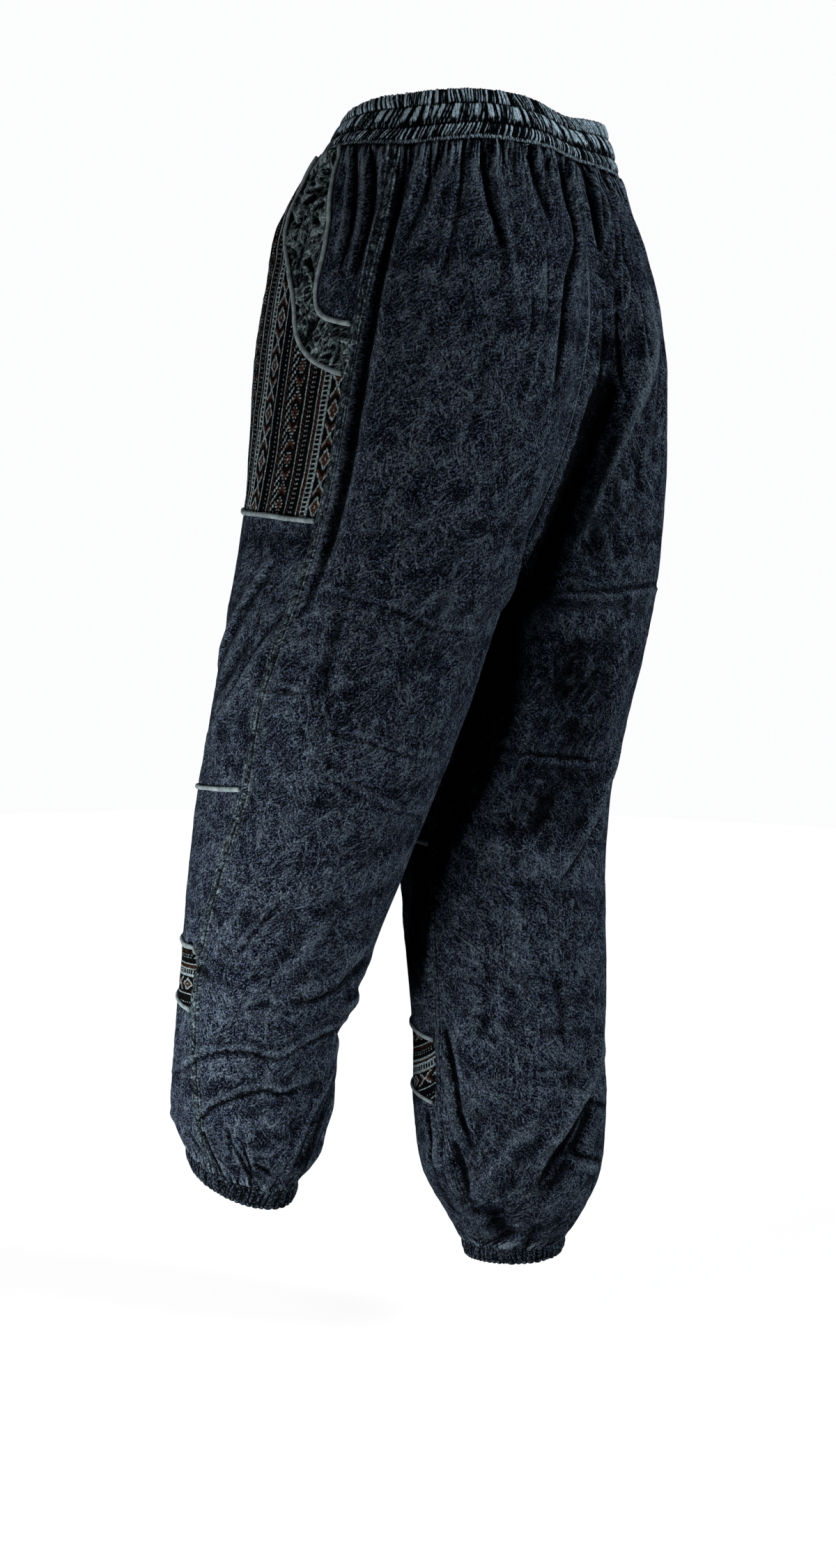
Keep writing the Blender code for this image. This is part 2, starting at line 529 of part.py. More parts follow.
def make_material(name, kind):
    """A plain cloth material."""
    color, roughness = COLORS[kind]
    material = bpy.data.materials.new(name)
    material.use_nodes = True
    shader = material.node_tree.nodes["Principled BSDF"]
    shader.inputs["Base Color"].default_value = color
    shader.inputs["Roughness"].default_value = roughness
    shader.inputs["Metallic"].default_value = 0.0
    material.diffuse_color = color
    return material


def back_panel(half, rows, materials):
    """The one long panel behind the outseam, from waistband to cuff."""
    shares = np.tile(np.linspace(0.5, 1.0, BACK_COLUMNS + 1), (len(rows), 1))
    heights = sloping(rows, shares)
    gather = gather_wave(shares, heights, half.cuff_top)
    panel(f"{half.side}_back_panel", half, shares, heights, gather, materials["plain"])


def pocket(half, materials):
    """The gathered yoke behind the pocket's mouth, the facing band and their two cords."""
    side = half.side
    mouth = np.array(MOUTH_SIDE + MOUTH_FOOT)
    outer = np.array(OUTER_SIDE + OUTER_FOOT)
    top = np.stack([np.linspace(mouth[0, 0], 0.5, YOKE_COLUMNS + 1),
                    np.full(YOKE_COLUMNS + 1, BAND_BOTTOM)], 1)
    right = np.stack([np.full(len(MOUTH_SIDE), 0.5), HIP_ROWS[:len(MOUTH_SIDE)]], 1)
    yoke = blend_grid(top, np.array([MOUTH_SIDE[-1]] + MOUTH_FOOT), MOUTH_SIDE, right)
    gather = gather_wave(yoke[..., 0], yoke[..., 1], half.cuff_top)
    panel(f"{side}_pocket_yoke", half, yoke[..., 0], yoke[..., 1], gather, materials["plain"])
    over = np.linspace(0.0, 1.0, FACING_COLUMNS + 1)[None, :, None]
    facing = (1 - over) * outer[:, None] + over * mouth[:, None]
    panel(f"{side}_pocket_facing", half, facing[..., 0], facing[..., 1], 0.0, materials["facing"])
    for name, line in (("mouth", mouth), ("facing", outer)):
        places, out = half.at(line[:, 0], line[:, 1])
        cord(f"{side}_{name}_piping", places[1:], out[1:], materials["piping"])


def front_panels(half, rows, marks, materials):
    """The panels in front of the outseam, from the woven one down to the ankle."""
    side = half.side
    outer = np.array(OUTER_SIDE + OUTER_FOOT)
    below = rows[marks["hip"] + 1:marks["thigh"] + 1]
    woven_rows = np.concatenate([np.stack([outer[:, 1], outer[:, 1]], 1), below])
    right_edge = np.concatenate([outer[:, 0], np.full(len(below), 0.5)])
    over = np.linspace(0.0, 1.0, FRONT_COLUMNS + 1)
    shares = right_edge[:, None] * over[None]
    heights = sloping(woven_rows, shares)
    gather = gather_wave(shares, heights, half.cuff_top)
    panel(f"{side}_woven_panel", half, shares, heights, gather, materials["woven"])
    for start, end, name, kind, piping in FRONT_PIECES:
        piece_rows = rows[marks[start]:marks[end] + 1]
        shares = np.tile(over * 0.5, (len(piece_rows), 1))
        heights = sloping(piece_rows, shares)
        gather = gather_wave(shares, heights, half.cuff_top)
        places, out = panel(f"{side}_{name}", half, shares, heights, gather, materials[kind])
        cord(f"{side}_{piping}_piping", places[0, 1:-1], out[0, 1:-1], materials["piping"])


def cuff(half, materials):
    """The gathered elastic cuff."""
    top, tall = half.cuff_top - 2 * SEAM_HALF, CUFF_HEIGHTS[half.side]
    profile = [(top - share * tall, out, pleat) for share, out, pleat in CUFF_PROFILE]
    pleated_ring(f"{half.side}_ankle_cuff", lambda z, columns: leg_ring(half, z, columns), profile,
                 BAND_INNER, CUFF_PLEATS, materials["band"])


def waistband(halves, materials):
    """The pleated elastic waistband of three channels and a narrow edge."""
    profile = [(z + (2 * SEAM_HALF if z == BAND_BOTTOM else 0.0), out, pleat)
               for z, out, pleat in BAND_PROFILE]
    pleated_ring("waistband", lambda z, columns: full_ring(halves, z, columns), profile,
                 BAND_INNER, BAND_PLEATS, materials["band"])


def build():
    """All pieces of the trousers."""
    for item in list(bpy.data.objects):
        bpy.data.objects.remove(item, do_unlink=True)
    halves = {side: Half(side) for side in ("left", "right")}
    shared = {kind: make_material(f"{kind}_cloth", kind) for kind in COLORS}
    waistband(halves, shared)
    for side, half in halves.items():
        rows, marks = rows_of(side)
        back_panel(half, rows, shared)
        pocket(half, shared)
        front_panels(half, rows, marks, shared)
        cuff(half, shared)


build()
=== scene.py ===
import math

import bpy
import numpy as np
from mathutils import Matrix, Vector


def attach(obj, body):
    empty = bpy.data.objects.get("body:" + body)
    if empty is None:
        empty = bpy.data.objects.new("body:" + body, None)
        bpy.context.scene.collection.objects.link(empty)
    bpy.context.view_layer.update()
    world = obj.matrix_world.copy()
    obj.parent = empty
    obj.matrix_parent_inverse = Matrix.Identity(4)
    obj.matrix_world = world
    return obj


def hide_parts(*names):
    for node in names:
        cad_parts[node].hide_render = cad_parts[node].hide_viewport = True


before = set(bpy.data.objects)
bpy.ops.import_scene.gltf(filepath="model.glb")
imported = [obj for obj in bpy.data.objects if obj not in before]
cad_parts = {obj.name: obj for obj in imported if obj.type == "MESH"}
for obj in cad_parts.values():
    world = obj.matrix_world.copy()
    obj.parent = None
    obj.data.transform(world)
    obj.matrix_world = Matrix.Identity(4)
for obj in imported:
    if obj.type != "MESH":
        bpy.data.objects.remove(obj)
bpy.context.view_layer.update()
print("frame loaded")

# A place on either half of the trousers is (share, z): share 0 is the centre front or the
# inseam, 0.5 the outseam and 1 the centre back or the inseam again. The code is in metres;
# the tables of the form are in millimetres, with shares in thousandths.
bandTop, bandBottom = 0.022, -0.024
crotch, crotchY, crotchCurve, crotchBlend = -0.385, -0.012, 5.0, 0.16
bandSlope, bandSlopeEnd, bandLiftEnd = 0.055, -0.30, -0.075
seamHeights = {  # at the inseam and at the outseam, named for the panel below
    "left": {"thigh": (-0.300, -0.312), "knee": (-0.575, -0.536), "patch": (-0.700, -0.690),
             "lower": (-0.756, -0.745), "cuff": (-0.905, -0.905)},
    "right": {"thigh": (-0.300, -0.316), "knee": (-0.604, -0.572), "patch": (-0.787, -0.765),
              "lower": (-0.846, -0.825), "cuff": (-0.986, -0.986)}}
# Level sections of each half, in millimetres; apex and full are shares in thousandths.
sectionColumns = ("z", "xIn", "xOut", "yFront", "yBack", "yOut", "apex", "dipFront", "dipBack", "full")
sections = {
    "left": [
        (22, 0, 129, -81, 98, 31, 20, 0, 0, 560),
        (-24, 0, 137, -110, 115, 37, 80, 1, 2, 570),
        (-60, 0, 153, -149, 126, 41, 120, 4, 3, 570),
        (-110, 0, 167, -152, 142, 40, 220, 7, 11, 580),
        (-165, 0, 174, -151, 149, 34, 340, 8, 16, 590),
        (-225, 0, 181, -146, 143, 28, 410, 10, 19, 590),
        (-290, 0, 187, -140, 129, 18, 460, 11, 20, 600),
        (-350, 0, 191, -143, 109, 0, 500, 12, 18, 600),
        (-410, 2, 194, -152, 84, -26, 500, 10, 22, 600),
        (-470, 5, 194, -165, 64, -50, 500, 10, 22, 600),
        (-536, 9, 194, -179, 38, -64, 500, 10, 22, 590),
        (-603, 14, 192, -189, 8, -92, 500, 10, 22, 590),
        (-670, 18, 188, -196, -24, -119, 500, 10, 22, 590),
        (-728, 21, 183, -203, -52, -135, 500, 10, 22, 590),
        (-785, 25, 176, -214, -71, -143, 500, 10, 22, 590),
        (-838, 29, 168, -225, -79, -146, 500, 10, 22, 590),
        (-876, 41, 152, -238, -85, -156, 500, 10, 22, 590),
        (-905, 51, 137, -228, -110, -162, 500, 10, 22, 570),
        (-922, 52, 136, -223, -115, -163, 500, 10, 22, 570)],
    "right": [
        (22, 0, 129, -81, 98, 31, 20, 0, 0, 560),
        (-24, 0, 137, -110, 115, 37, 80, 1, 2, 570),
        (-60, 0, 152, -146, 127, 41, 120, 1, 4, 570),
        (-110, 0, 166, -147, 141, 40, 220, 2, 10, 580),
        (-165, 0, 173, -145, 145, 36, 340, 2, 12, 590),
        (-225, 0, 181, -142, 142, 34, 410, 6, 18, 590),
        (-290, 0, 187, -138, 135, 30, 460, 9, 26, 600),
        (-350, 0, 191, -136, 127, 26, 500, 7, 34, 600),
        (-410, 2, 194, -133, 115, 20, 500, 10, 26, 600),
        (-470, 4, 194, -129, 99, 13, 500, 10, 26, 600),
        (-537, 7, 194, -124, 80, 6, 500, 10, 26, 590),
        (-604, 10, 192, -119, 73, -1, 500, 10, 26, 590),
        (-672, 13, 188, -112, 76, -6, 500, 10, 26, 590),
        (-739, 16, 184, -103, 81, -8, 500, 10, 26, 590),
        (-806, 17, 180, -94, 84, -7, 500, 10, 26, 590),
        (-874, 18, 178, -92, 88, -5, 500, 10, 26, 590),
        (-927, 26, 168, -84, 84, -4, 500, 10, 26, 580),
        (-965, 46, 150, -62, 68, -3, 500, 10, 26, 580),
        (-986, 53, 142, -45, 54, -2, 500, 10, 26, 570),
        (-1001, 54, 141, -41, 51, -2, 500, 10, 26, 570)]}
leans = {  # height, then how far the fronts drop and the backs rise there
    "left": [(-500, 0), (-600, 4), (-690, 10), (-840, 14), (-922, 16)],
    "right": [(-900, 0), (-1001, -4)]}
inseams = {  # height, then how far in front of the middle the inseam lies there
    "left": [(-450, 0), (-800, 12), (-900, 4)],
    "right": [(-450, 0), (-700, 20), (-850, 26), (-980, 6)]}
bandLifts = {  # share, then how far the band's upper and lower edges are raised there
    "left": [(1000, -8.9, -1.2), (950, -6.3, 0), (900, -2.4, 3.6), (850, 0.5, 5.7), (800, 1.8, 6.8), (700, 3, 8.4),
             (600, 1.8, 6.8), (500, 0, 6.2), (450, 0, 8.8), (400, -1.5, 12.2), (330, -3, 13.8), (220, -3, 12),
             (100, -2, 5), (0, -1.5, 2)],
    "right": [(1000, -8.9, -1.2), (960, -8.8, -2.6), (910, -7.6, -3.1), (850, -5.8, -3.4), (780, -3.8, -2.8),
              (650, 0, 0), (500, 0, 2.5), (330, -1.5, 4.5), (220, -2, 4.5), (100, -2, 3), (0, -1.5, 2)]}
# the pocket's mouth and its facing's outer edge, as share and height
mouthEdge = [(365, -24), (384, -40), (397, -58), (407, -78), (411, -99), (408, -120), (414, -139),
             (424, -147), (438, -151.5), (453, -154), (468, -156), (484, -157), (500, -158)]
facingEdge = [(275, -24), (284, -44), (298, -66), (318, -89), (344, -113), (368, -136), (381, -158),
              (393, -168), (408, -177), (427, -184.5), (449, -190), (474, -195), (500, -198)]

# Creases listed one by one: kind, height and half width, then the places each passes, as pairs of
# share and depth below the origin. A lap stands out on the left of its way along and tucks in
# on the right. A shade adds no height: its first number is painted shade, and painted highlight where negative.
creases = {
    "left": [
        # beside and behind the outseam, and the yoke's upright folds
        ("lapRight", 4.6, 9, 507, 22, 507, 120, 508, 220, 509, 330, 508, 410),
        ("trough", 5.5, 5, 517, 22, 514, 85, 516, 160, 517, 235, 518, 330, 512, 420),
        ("ridge", 2.4, 3.4, 394, 28, 424, 52, 434, 75, 431, 112),
        ("trough", 5, 2.2, 406, 22, 438, 55, 446, 76, 443, 120),
        ("ridge", 2.6, 3.4, 426, 22, 454, 55, 461, 80, 458, 128),
        ("trough", 4.4, 2.2, 444, 22, 469, 55, 474, 84, 471, 130),
        ("ridge", 2.4, 3, 464, 22, 481, 60, 485, 90, 484, 130),
        ("shade", 520, 13, 420, 15, 452, 50, 466, 90, 466, 150),
        ("shade", -800, 1.4, 394, 28, 424, 52, 434, 75, 431, 112),
        ("shade", -900, 1.5, 426, 22, 454, 55, 461, 80, 458, 138),
        ("shade", -800, 1.4, 464, 22, 481, 60, 485, 90, 484, 142),
        # gathers below the band, spreading from the seat seam
        ("ridge", 3, 5, 585, 22, 552, 40, 534, 64, 528, 95),
        ("trough", 2.6, 4, 616, 22, 596, 36, 570, 63, 548, 105),
        ("ridge", 3, 6, 638, 22, 614, 44, 578, 80, 562, 120),
        ("trough", 2.6, 5, 656, 22, 652, 40, 640, 88, 622, 145),
        ("trough", 4.6, 5, 704, 21, 699, 41, 710, 60, 728, 85, 742, 112),
        ("ridge", 2.8, 6, 722, 21, 722, 45, 738, 75, 758, 120, 764, 170),
        ("trough", 2.6, 4, 744, 21, 770, 39, 785, 63),
        ("trough", 4.2, 4.5, 804, 23, 830, 46, 848, 63, 860, 82),
        ("ridge", 2.4, 4, 872, 23, 886, 50, 892, 85),
        ("shade", 620, 4.5, 912, 30, 924, 60, 932, 80, 918, 100, 886, 124, 872, 146, 866, 180, 860, 235),
        ("shade", 200, 42, 626, 320, 626, 385, 638, 430, 640, 465, 630, 510),
        ("shade", 300, 3, 704, 21, 699, 41, 710, 60, 728, 85, 746, 118),
        ("shade", 300, 3, 804, 23, 830, 46, 848, 63, 862, 86),
        ("shade", -1300, 2, 980, 90, 993, 140, 997, 200, 997, 240, 994, 285, 984, 325, 962, 370),
        ("trough", 6, 5, 912, 22, 922, 54, 932, 78, 918, 100, 886, 122, 870, 146, 864, 180, 858, 225),
        ("ridge", 2.8, 3.5, 946, 24, 962, 50, 974, 72, 966, 104),
        ("trough", 1.8, 2.2, 836, 90, 832, 121, 828, 152),
        ("trough", 1.4, 1.8, 796, 130, 796, 150, 796, 166),
        ("trough", 2.2, 7, 792, 128, 798, 150, 790, 200, 772, 255),
        ("trough", 2, 7, 850, 105, 838, 131, 826, 170, 815, 220),
        ("trough", 1.8, 6, 720, 150, 714, 200, 700, 260),
        ("ridge", 1.8, 8, 640, 150, 630, 215, 618, 290),
        # the thigh: long soft folds and the storage creases
        ("lapRight", 4.6, 12, 436, 335, 410, 378, 388, 418, 350, 452),
        ("lap", 5.2, 13, 498, 378, 466, 417, 444, 450, 402, 485, 346, 520),
        ("trough", 4, 9, 452, 395, 424, 432, 372, 470),
        ("trough", 3.2, 8, 562, 330, 570, 385, 578, 432, 592, 457, 612, 470),
        ("ridge", 4.2, 15, 622, 470, 597, 494, 582, 530, 572, 590),
        ("crease", 1.5, 1.8, 500, 452, 522, 450, 556, 452),
        ("crease", 0.9, 1.5, 524, 367, 565, 371, 626, 378, 708, 397, 780, 401),
        ("crease", 0.9, 1.6, 590, 478, 650, 488, 704, 500, 790, 512),
        ("crease", 1, 2, 600, 518, 660, 535, 712, 550),
        ("crease", 0.7, 1.5, 690, 546, 780, 558),
        ("crease", 0.7, 1.3, 800, 140, 880, 139, 975, 137),
        ("trough", 2.6, 12, 700, 300, 690, 390, 668, 470),
        ("ridge", 2.4, 12, 780, 330, 765, 430, 735, 540),
        ("trough", 2.2, 9, 740, 560, 690, 610, 650, 655),
        ("ridge", 2, 6, 560, 600, 545, 640, 520, 680),
        ("trough", 1.2, 3, 572, 640, 556, 664, 535, 690),
        ("trough", 2.6, 2, 606, 622, 598, 636, 590, 647, 578, 661, 566, 677, 556, 688),
        ("trough", 1.8, 6, 650, 640, 628, 680, 600, 710),
        ("ridge", 2.2, 7, 690, 625, 668, 665, 640, 700),
        # the knee's pucker beside the patch
        ("trough", 3.6, 4, 435, 684, 462, 693, 486, 702),
        ("ridge", 3, 5, 470, 680, 490, 690, 500, 702),
        ("trough", 2.6, 4, 470, 710, 494, 704, 524, 706),
        # the knee hollow at the back
        ("lap", 6.5, 13, 662, 716, 700, 713, 735, 706, 760, 688, 800, 672),
        ("trough", 4, 9, 760, 700, 810, 695, 880, 700),
        ("ridge", 4, 12, 800, 702, 860, 700, 950, 704),
        ("ridge", 5, 8, 735, 730, 800, 734, 940, 736),
        ("trough", 6, 9, 780, 763, 850, 765, 980, 765),
        ("ridge", 4.5, 20, 880, 785, 880, 820, 850, 865),
        ("shade", 1000, 6, 836, 793, 805, 815, 772, 837, 744, 858, 722, 882),
        ("shade", 560, 2.6, 664, 719, 684, 712, 702, 707, 740, 703, 785, 698),
        ("shade", 560, 3, 768, 705, 790, 717, 805, 730),
        ("ridge", 1.8, 4, 586, 740, 616, 727, 662, 733),
        # big soft folds of the lower leg
        ("lap", 3, 5, 310, 846, 380, 824, 468, 798, 510, 782, 560, 769, 608, 765, 656, 769, 700, 757, 755,
         750, 830, 752, 930, 760),
        ("lap", 2.8, 5, 462, 866, 488, 848, 530, 824, 564, 813, 596, 804, 630, 798, 662, 802, 712, 796, 780,
         799),
        ("shade", 380, 1.4, 468, 798, 510, 784, 560, 771, 608, 767, 656, 771, 704, 760, 755, 753, 810, 755),
        ("shade", 700, 1.5, 470, 862, 494, 846, 530, 826, 564, 815, 600, 806, 640, 801, 664, 804, 706, 799),
        ("shade", 950, 2.2, 490, 852, 512, 878, 532, 898, 552, 912),
        ("shade", 950, 2.4, 558, 856, 582, 869, 604, 887, 632, 909),
        ("shade", 800, 1.8, 586, 857, 610, 878, 640, 895),
        ("shade", -700, 1.8, 548, 850, 570, 868, 592, 888, 614, 908),
        ("lapRight", 4.6, 7, 845, 788, 788, 807, 748, 823, 722, 845, 702, 868, 704, 896),
        ("trough", 3.6, 7, 905, 790, 830, 832, 770, 888),
        ("ridge", 1, 6, 560, 845, 640, 832, 700, 838),
        ("lap", 3.6, 4, 490, 850, 510, 864, 524, 880, 548, 906),
        ("trough", 3.6, 2.4, 558, 842, 562, 858, 566, 874),
        ("lap", 4.2, 4, 594, 852, 608, 874, 626, 892, 650, 906),
        ("trough", 3.8, 2.4, 606, 874, 636, 878, 670, 888),
        ("ridge", 1.8, 4, 610, 866, 634, 861, 660, 863),
        ("trough", 2.6, 5, 420, 868, 452, 878, 490, 894),
        # similar ones on the front and the inner side
        ("lap", 5, 13, 300, 770, 190, 757, 60, 764),
        ("lap", 5, 12, 350, 838, 225, 812, 90, 824),
        ("trough", 3.6, 15, 290, 350, 262, 440, 235, 530),
        ("ridge", 3, 13, 200, 340, 170, 430, 140, 520),
        ("trough", 3.4, 9, 330, 600, 270, 645, 180, 680),
        ("ridge", 3, 9, 230, 590, 170, 640, 90, 670),
        ("trough", 3.2, 6, 140, 22, 150, 65, 135, 120),
        ("ridge", 2.8, 6, 85, 22, 90, 60, 80, 130),
        ("trough", 3.2, 6, 225, 22, 235, 70, 230, 135),
        ("trough", 2.8, 7, 95, 225, 130, 280, 180, 330),
        ("lap", 3.8, 6, 150, 862, 172, 880, 190, 906),
        ("lap", 3.8, 6, 330, 866, 318, 884, 300, 906)],
    "right": [
        # gathers and the upright folds of the seat
        ("trough", 4.6, 3.2, 990, 22, 986, 45, 978, 62, 980, 90),
        ("ridge", 3, 2.8, 974, 22, 961, 50, 966, 70, 972, 100),
        ("trough", 3.4, 2.6, 952, 30, 954, 60, 962, 84),
        ("ridge", 2.8, 2.8, 936, 40, 944, 65, 962, 84, 984, 112),
        ("trough", 3, 3.5, 918, 22, 912, 56, 926, 90, 956, 122),
        ("ridge", 1.7, 2, 872, 36, 908, 80, 930, 113, 926, 142, 906, 168),
        ("ridge", 1.4, 2, 852, 60, 848, 102, 812, 125),
        ("ridge", 1.5, 1.8, 880, 124, 874, 159, 866, 190),
        ("ridge", 2.4, 4, 890, 22, 880, 50, 900, 100, 930, 150),
        ("trough", 2.8, 4, 850, 22, 866, 50, 900, 85, 912, 120),
        ("trough", 3.2, 4, 914, 90, 900, 108, 892, 130),
        ("ridge", 2, 4, 905, 110, 884, 142, 868, 165, 868, 195),
        ("trough", 2, 2.6, 880, 105, 858, 165, 850, 225),
        ("ridge", 2.4, 5, 770, 100, 800, 138, 834, 168, 856, 198, 880, 235),
        ("trough", 1.8, 2.6, 978, 110, 964, 160, 950, 215),
        ("trough", 1.6, 2.4, 946, 112, 936, 160, 908, 205),
        ("ridge", 5, 9, 812, 120, 834, 155, 856, 188, 878, 214, 893, 246, 904, 280, 909, 314, 912, 352),
        ("trough", 9, 12, 922, 150, 936, 190, 950, 225, 956, 260, 957, 295, 953, 330, 945, 362, 935, 395),
        ("shade", 520, 15, 930, 135, 930, 170, 940, 205, 950, 240),
        ("shade", 1150, 13, 938, 188, 944, 205, 950, 228, 956, 260, 957, 295, 953, 330, 946, 362, 935, 395),
        ("shade", -800, 3, 812, 120, 834, 155, 856, 188, 878, 214, 893, 246, 904, 280, 909, 314, 908, 346),
        ("shade", -520, 8, 835, 75, 834, 115, 843, 152, 862, 185, 885, 222),
        ("shade", 1150, 24, 958, 320, 946, 360, 925, 400, 925, 440, 927, 488, 933, 525, 957, 563, 984, 592,
         1008, 626, 1030, 660, 1055, 700),
        ("shade", 1150, 16, 0, 575, 10, 610, 14, 650, 32, 690, 52, 725, 64, 755),
        ("shade", 620, 44, 826, 400, 808, 450, 796, 500, 796, 555, 806, 600),
        ("shade", 420, 8, 800, 552, 820, 572, 840, 592),
        ("ridge", 2.4, 4, 892, 262, 872, 285, 850, 302),
        ("ridge", 2.2, 4, 888, 268, 848, 289, 816, 306),
        ("ridge", 2.2, 6, 902, 298, 870, 325, 824, 360),
        ("trough", 2.4, 6, 870, 240, 842, 268, 815, 290),
        ("ridge", 2, 5, 820, 190, 835, 240, 830, 290),
        ("trough", 2, 5, 795, 160, 806, 215, 800, 280),
        ("ridge", 1.8, 5, 760, 150, 770, 220, 764, 300),
        ("trough", 2.2, 4, 800, 22, 806, 55, 828, 95),
        ("ridge", 2.2, 5, 750, 22, 755, 60, 772, 105),
        ("trough", 2.4, 5, 700, 22, 705, 65, 715, 120),
        ("ridge", 2.2, 5, 640, 22, 640, 70, 630, 130),
        ("trough", 2.4, 5, 585, 22, 585, 75, 575, 125),
        # storage creases and drag lines of the thigh
        ("crease", 2.2, 2.2, 895, 371, 840, 369, 772, 367, 694, 365, 655, 366),
        ("crease", 0.9, 1.5, 924, 368, 904, 357, 868, 358),
        ("crease", 0.6, 1.3, 866, 394, 834, 394),
        ("crease", 1, 1.6, 894, 511, 836, 516, 770, 520, 712, 525),
        ("trough", 1.6, 4, 790, 368, 752, 384, 732, 398),
        ("crease", 0.7, 1.3, 985, 138, 940, 137),
        ("ridge", 2.4, 11, 862, 400, 868, 460, 872, 540),
        ("trough", 5, 26, 850, 390, 815, 465, 796, 510, 802, 560, 830, 620),
        ("ridge", 2.2, 12, 740, 400, 735, 470, 745, 540),
        ("lap", 6.5, 13, 628, 490, 664, 536, 698, 573, 736, 600, 796, 641),
        ("trough", 2.6, 8, 870, 560, 850, 620, 830, 680),
        ("ridge", 3.4, 11, 862, 630, 850, 690, 832, 760),
        ("trough", 2, 5, 800, 700, 792, 745, 784, 795),
        ("trough", 2.2, 8, 900, 690, 905, 740, 910, 790),
        # the lower leg's big lap and what it shades
        ("lap", 9, 13, 660, 775, 712, 816, 758, 842, 786, 863, 810, 880, 826, 895, 842, 914),
        ("trough", 3, 9, 700, 836, 752, 872, 800, 908, 840, 940),
        ("trough", 1.6, 3, 734, 834, 706, 844, 660, 856),
        ("ridge", 2.4, 6, 800, 877, 776, 886, 740, 900, 690, 912),
        ("trough", 1.6, 3, 786, 869, 754, 888, 720, 894),
        ("crease", 1, 2, 832, 802, 796, 803, 772, 800),
        ("crease", 0.8, 1.6, 832, 796, 833, 812, 832, 827),
        ("trough", 5, 12, 900, 825, 930, 862, 957, 896, 987, 935),
        ("shade", 900, 3.5, 708, 826, 724, 838, 756, 851, 776, 865, 802, 882),
        ("shade", 620, 8, 704, 838, 728, 849, 756, 862, 786, 880, 816, 902, 840, 925),
        ("shade", 620, 3, 800, 880, 776, 884, 726, 894, 684, 907),
        ("shade", 240, 34, 940, 862, 905, 888, 872, 912, 840, 936),
        ("shade", -500, 1.6, 690, 796, 712, 814, 752, 836, 784, 857, 812, 878, 836, 902),
        ("trough", 6, 10, 684, 800, 728, 848, 762, 882, 796, 918),
        ("ridge", 4, 9, 804, 834, 844, 858, 884, 883, 924, 914, 962, 940),
        ("ridge", 2.8, 4, 996, 770, 990, 790, 979, 820, 968, 855, 962, 875),
        ("trough", 4.4, 3, 982, 762, 975, 790, 964, 818, 955, 850, 946, 890),
        ("shade", 600, 2, 984, 765, 976, 790, 965, 818, 956, 850, 950, 880),
        ("shade", 750, 2.4, 18, 850, 32, 880, 34, 905, 36, 930, 70, 965),
        ("shade", 650, 2.2, 990, 850, 976, 884, 970, 915, 975, 960),
        ("shade", 800, 6, 976, 962, 950, 958, 925, 962, 905, 972),
        ("trough", 3.4, 2.6, 990, 856, 996, 880, 998, 897),
        ("trough", 4.4, 3.6, 18, 852, 26, 880, 52, 913),
        ("trough", 5, 6, 986, 862, 975, 900, 982, 935, 994, 958),
        ("ridge", 3, 6, 4, 850, 14, 885, 24, 915),
        ("trough", 6, 6, 934, 936, 930, 956, 920, 972, 908, 984),
        ("ridge", 3.6, 6, 960, 945, 950, 962, 930, 980),
        ("lap", 3.6, 5, 766, 956, 748, 972, 728, 985),
        ("trough", 3, 5, 716, 905, 698, 945, 706, 972),
        ("trough", 2.4, 4, 850, 955, 848, 970, 846, 984),
        ("trough", 2, 5, 918, 750, 914, 770, 926, 782),
        # similar ones on the hidden outer side and the front
        ("lapRight", 4.4, 9, 507, 22, 507, 120, 508, 220, 509, 330, 508, 400),
        ("trough", 5.2, 5, 517, 22, 514, 85, 516, 160, 517, 235, 518, 340),
        ("trough", 3.8, 4, 380, 22, 408, 46, 446, 84, 466, 122),
        ("trough", 3.4, 4, 412, 22, 436, 50, 462, 88, 474, 132),
        ("trough", 3.2, 4, 450, 22, 468, 60, 482, 90, 488, 128),
        ("lapRight", 4, 12, 440, 345, 415, 395, 385, 440, 340, 480),
        ("lap", 4.6, 13, 495, 400, 460, 440, 425, 490, 365, 545),
        ("trough", 3.6, 15, 280, 370, 250, 460, 220, 560),
        ("ridge", 3, 13, 190, 360, 165, 460, 135, 560),
        ("trough", 3.4, 10, 330, 650, 280, 700, 190, 745),
        ("ridge", 3, 11, 560, 600, 590, 680, 600, 760),
        ("trough", 2.8, 9, 530, 680, 560, 740, 580, 800),
        ("lap", 5.5, 14, 330, 905, 425, 886, 540, 892, 620, 915),
        ("lap", 4.6, 13, 120, 880, 220, 868, 310, 880),
        ("trough", 3.2, 6, 120, 22, 130, 70, 115, 130),
        ("ridge", 2.8, 6, 190, 22, 195, 70, 185, 135),
        ("trough", 2.8, 7, 90, 225, 125, 280, 175, 330),
        ("lap", 3.8, 6, 160, 945, 180, 965, 200, 986),
        ("lap", 3.8, 6, 380, 945, 372, 965, 360, 986),
        ("lap", 3.8, 6, 560, 940, 560, 964, 570, 986)]}

def metres(rows):
    return np.array(rows, float) / 1000


def ease(amount):
    amount = np.clip(amount, 0.0, 1.0)
    return amount * amount * (3.0 - 2.0 * amount)


def unit(ways):
    return ways / np.linalg.norm(ways, axis=-1, keepdims=True)


def lineLengths(points):
    return np.r_[0.0, np.cumsum(np.linalg.norm(np.diff(points, axis=0), axis=1))]


def resampled(values, at, want):  # each column of values, known at some places, at the wanted ones
    return np.stack([np.interp(want, at, column) for column in values.T], 1)


def smoothly(values, at, want):  # the same on a smooth curve
    slopes = np.gradient(values, at, axis=0)
    want = np.clip(want, at[0], at[-1])
    i = np.clip(np.searchsorted(at, want, side="right") - 1, 0, len(at) - 2)
    step = (at[i + 1] - at[i])[:, None]
    t = (want - at[i])[:, None] / step
    return ((1 + 2 * t) * (1 - t) ** 2 * values[i] + t * (1 - t) ** 2 * step * slopes[i]
            + t * t * (3 - 2 * t) * values[i + 1] + t * t * (t - 1) * step * slopes[i + 1])


def smoothLine(points, count):  # evenly spaced points on a smooth line through the given ones
    at = lineLengths(points)
    return smoothly(points, at, np.linspace(0.0, at[-1], count))


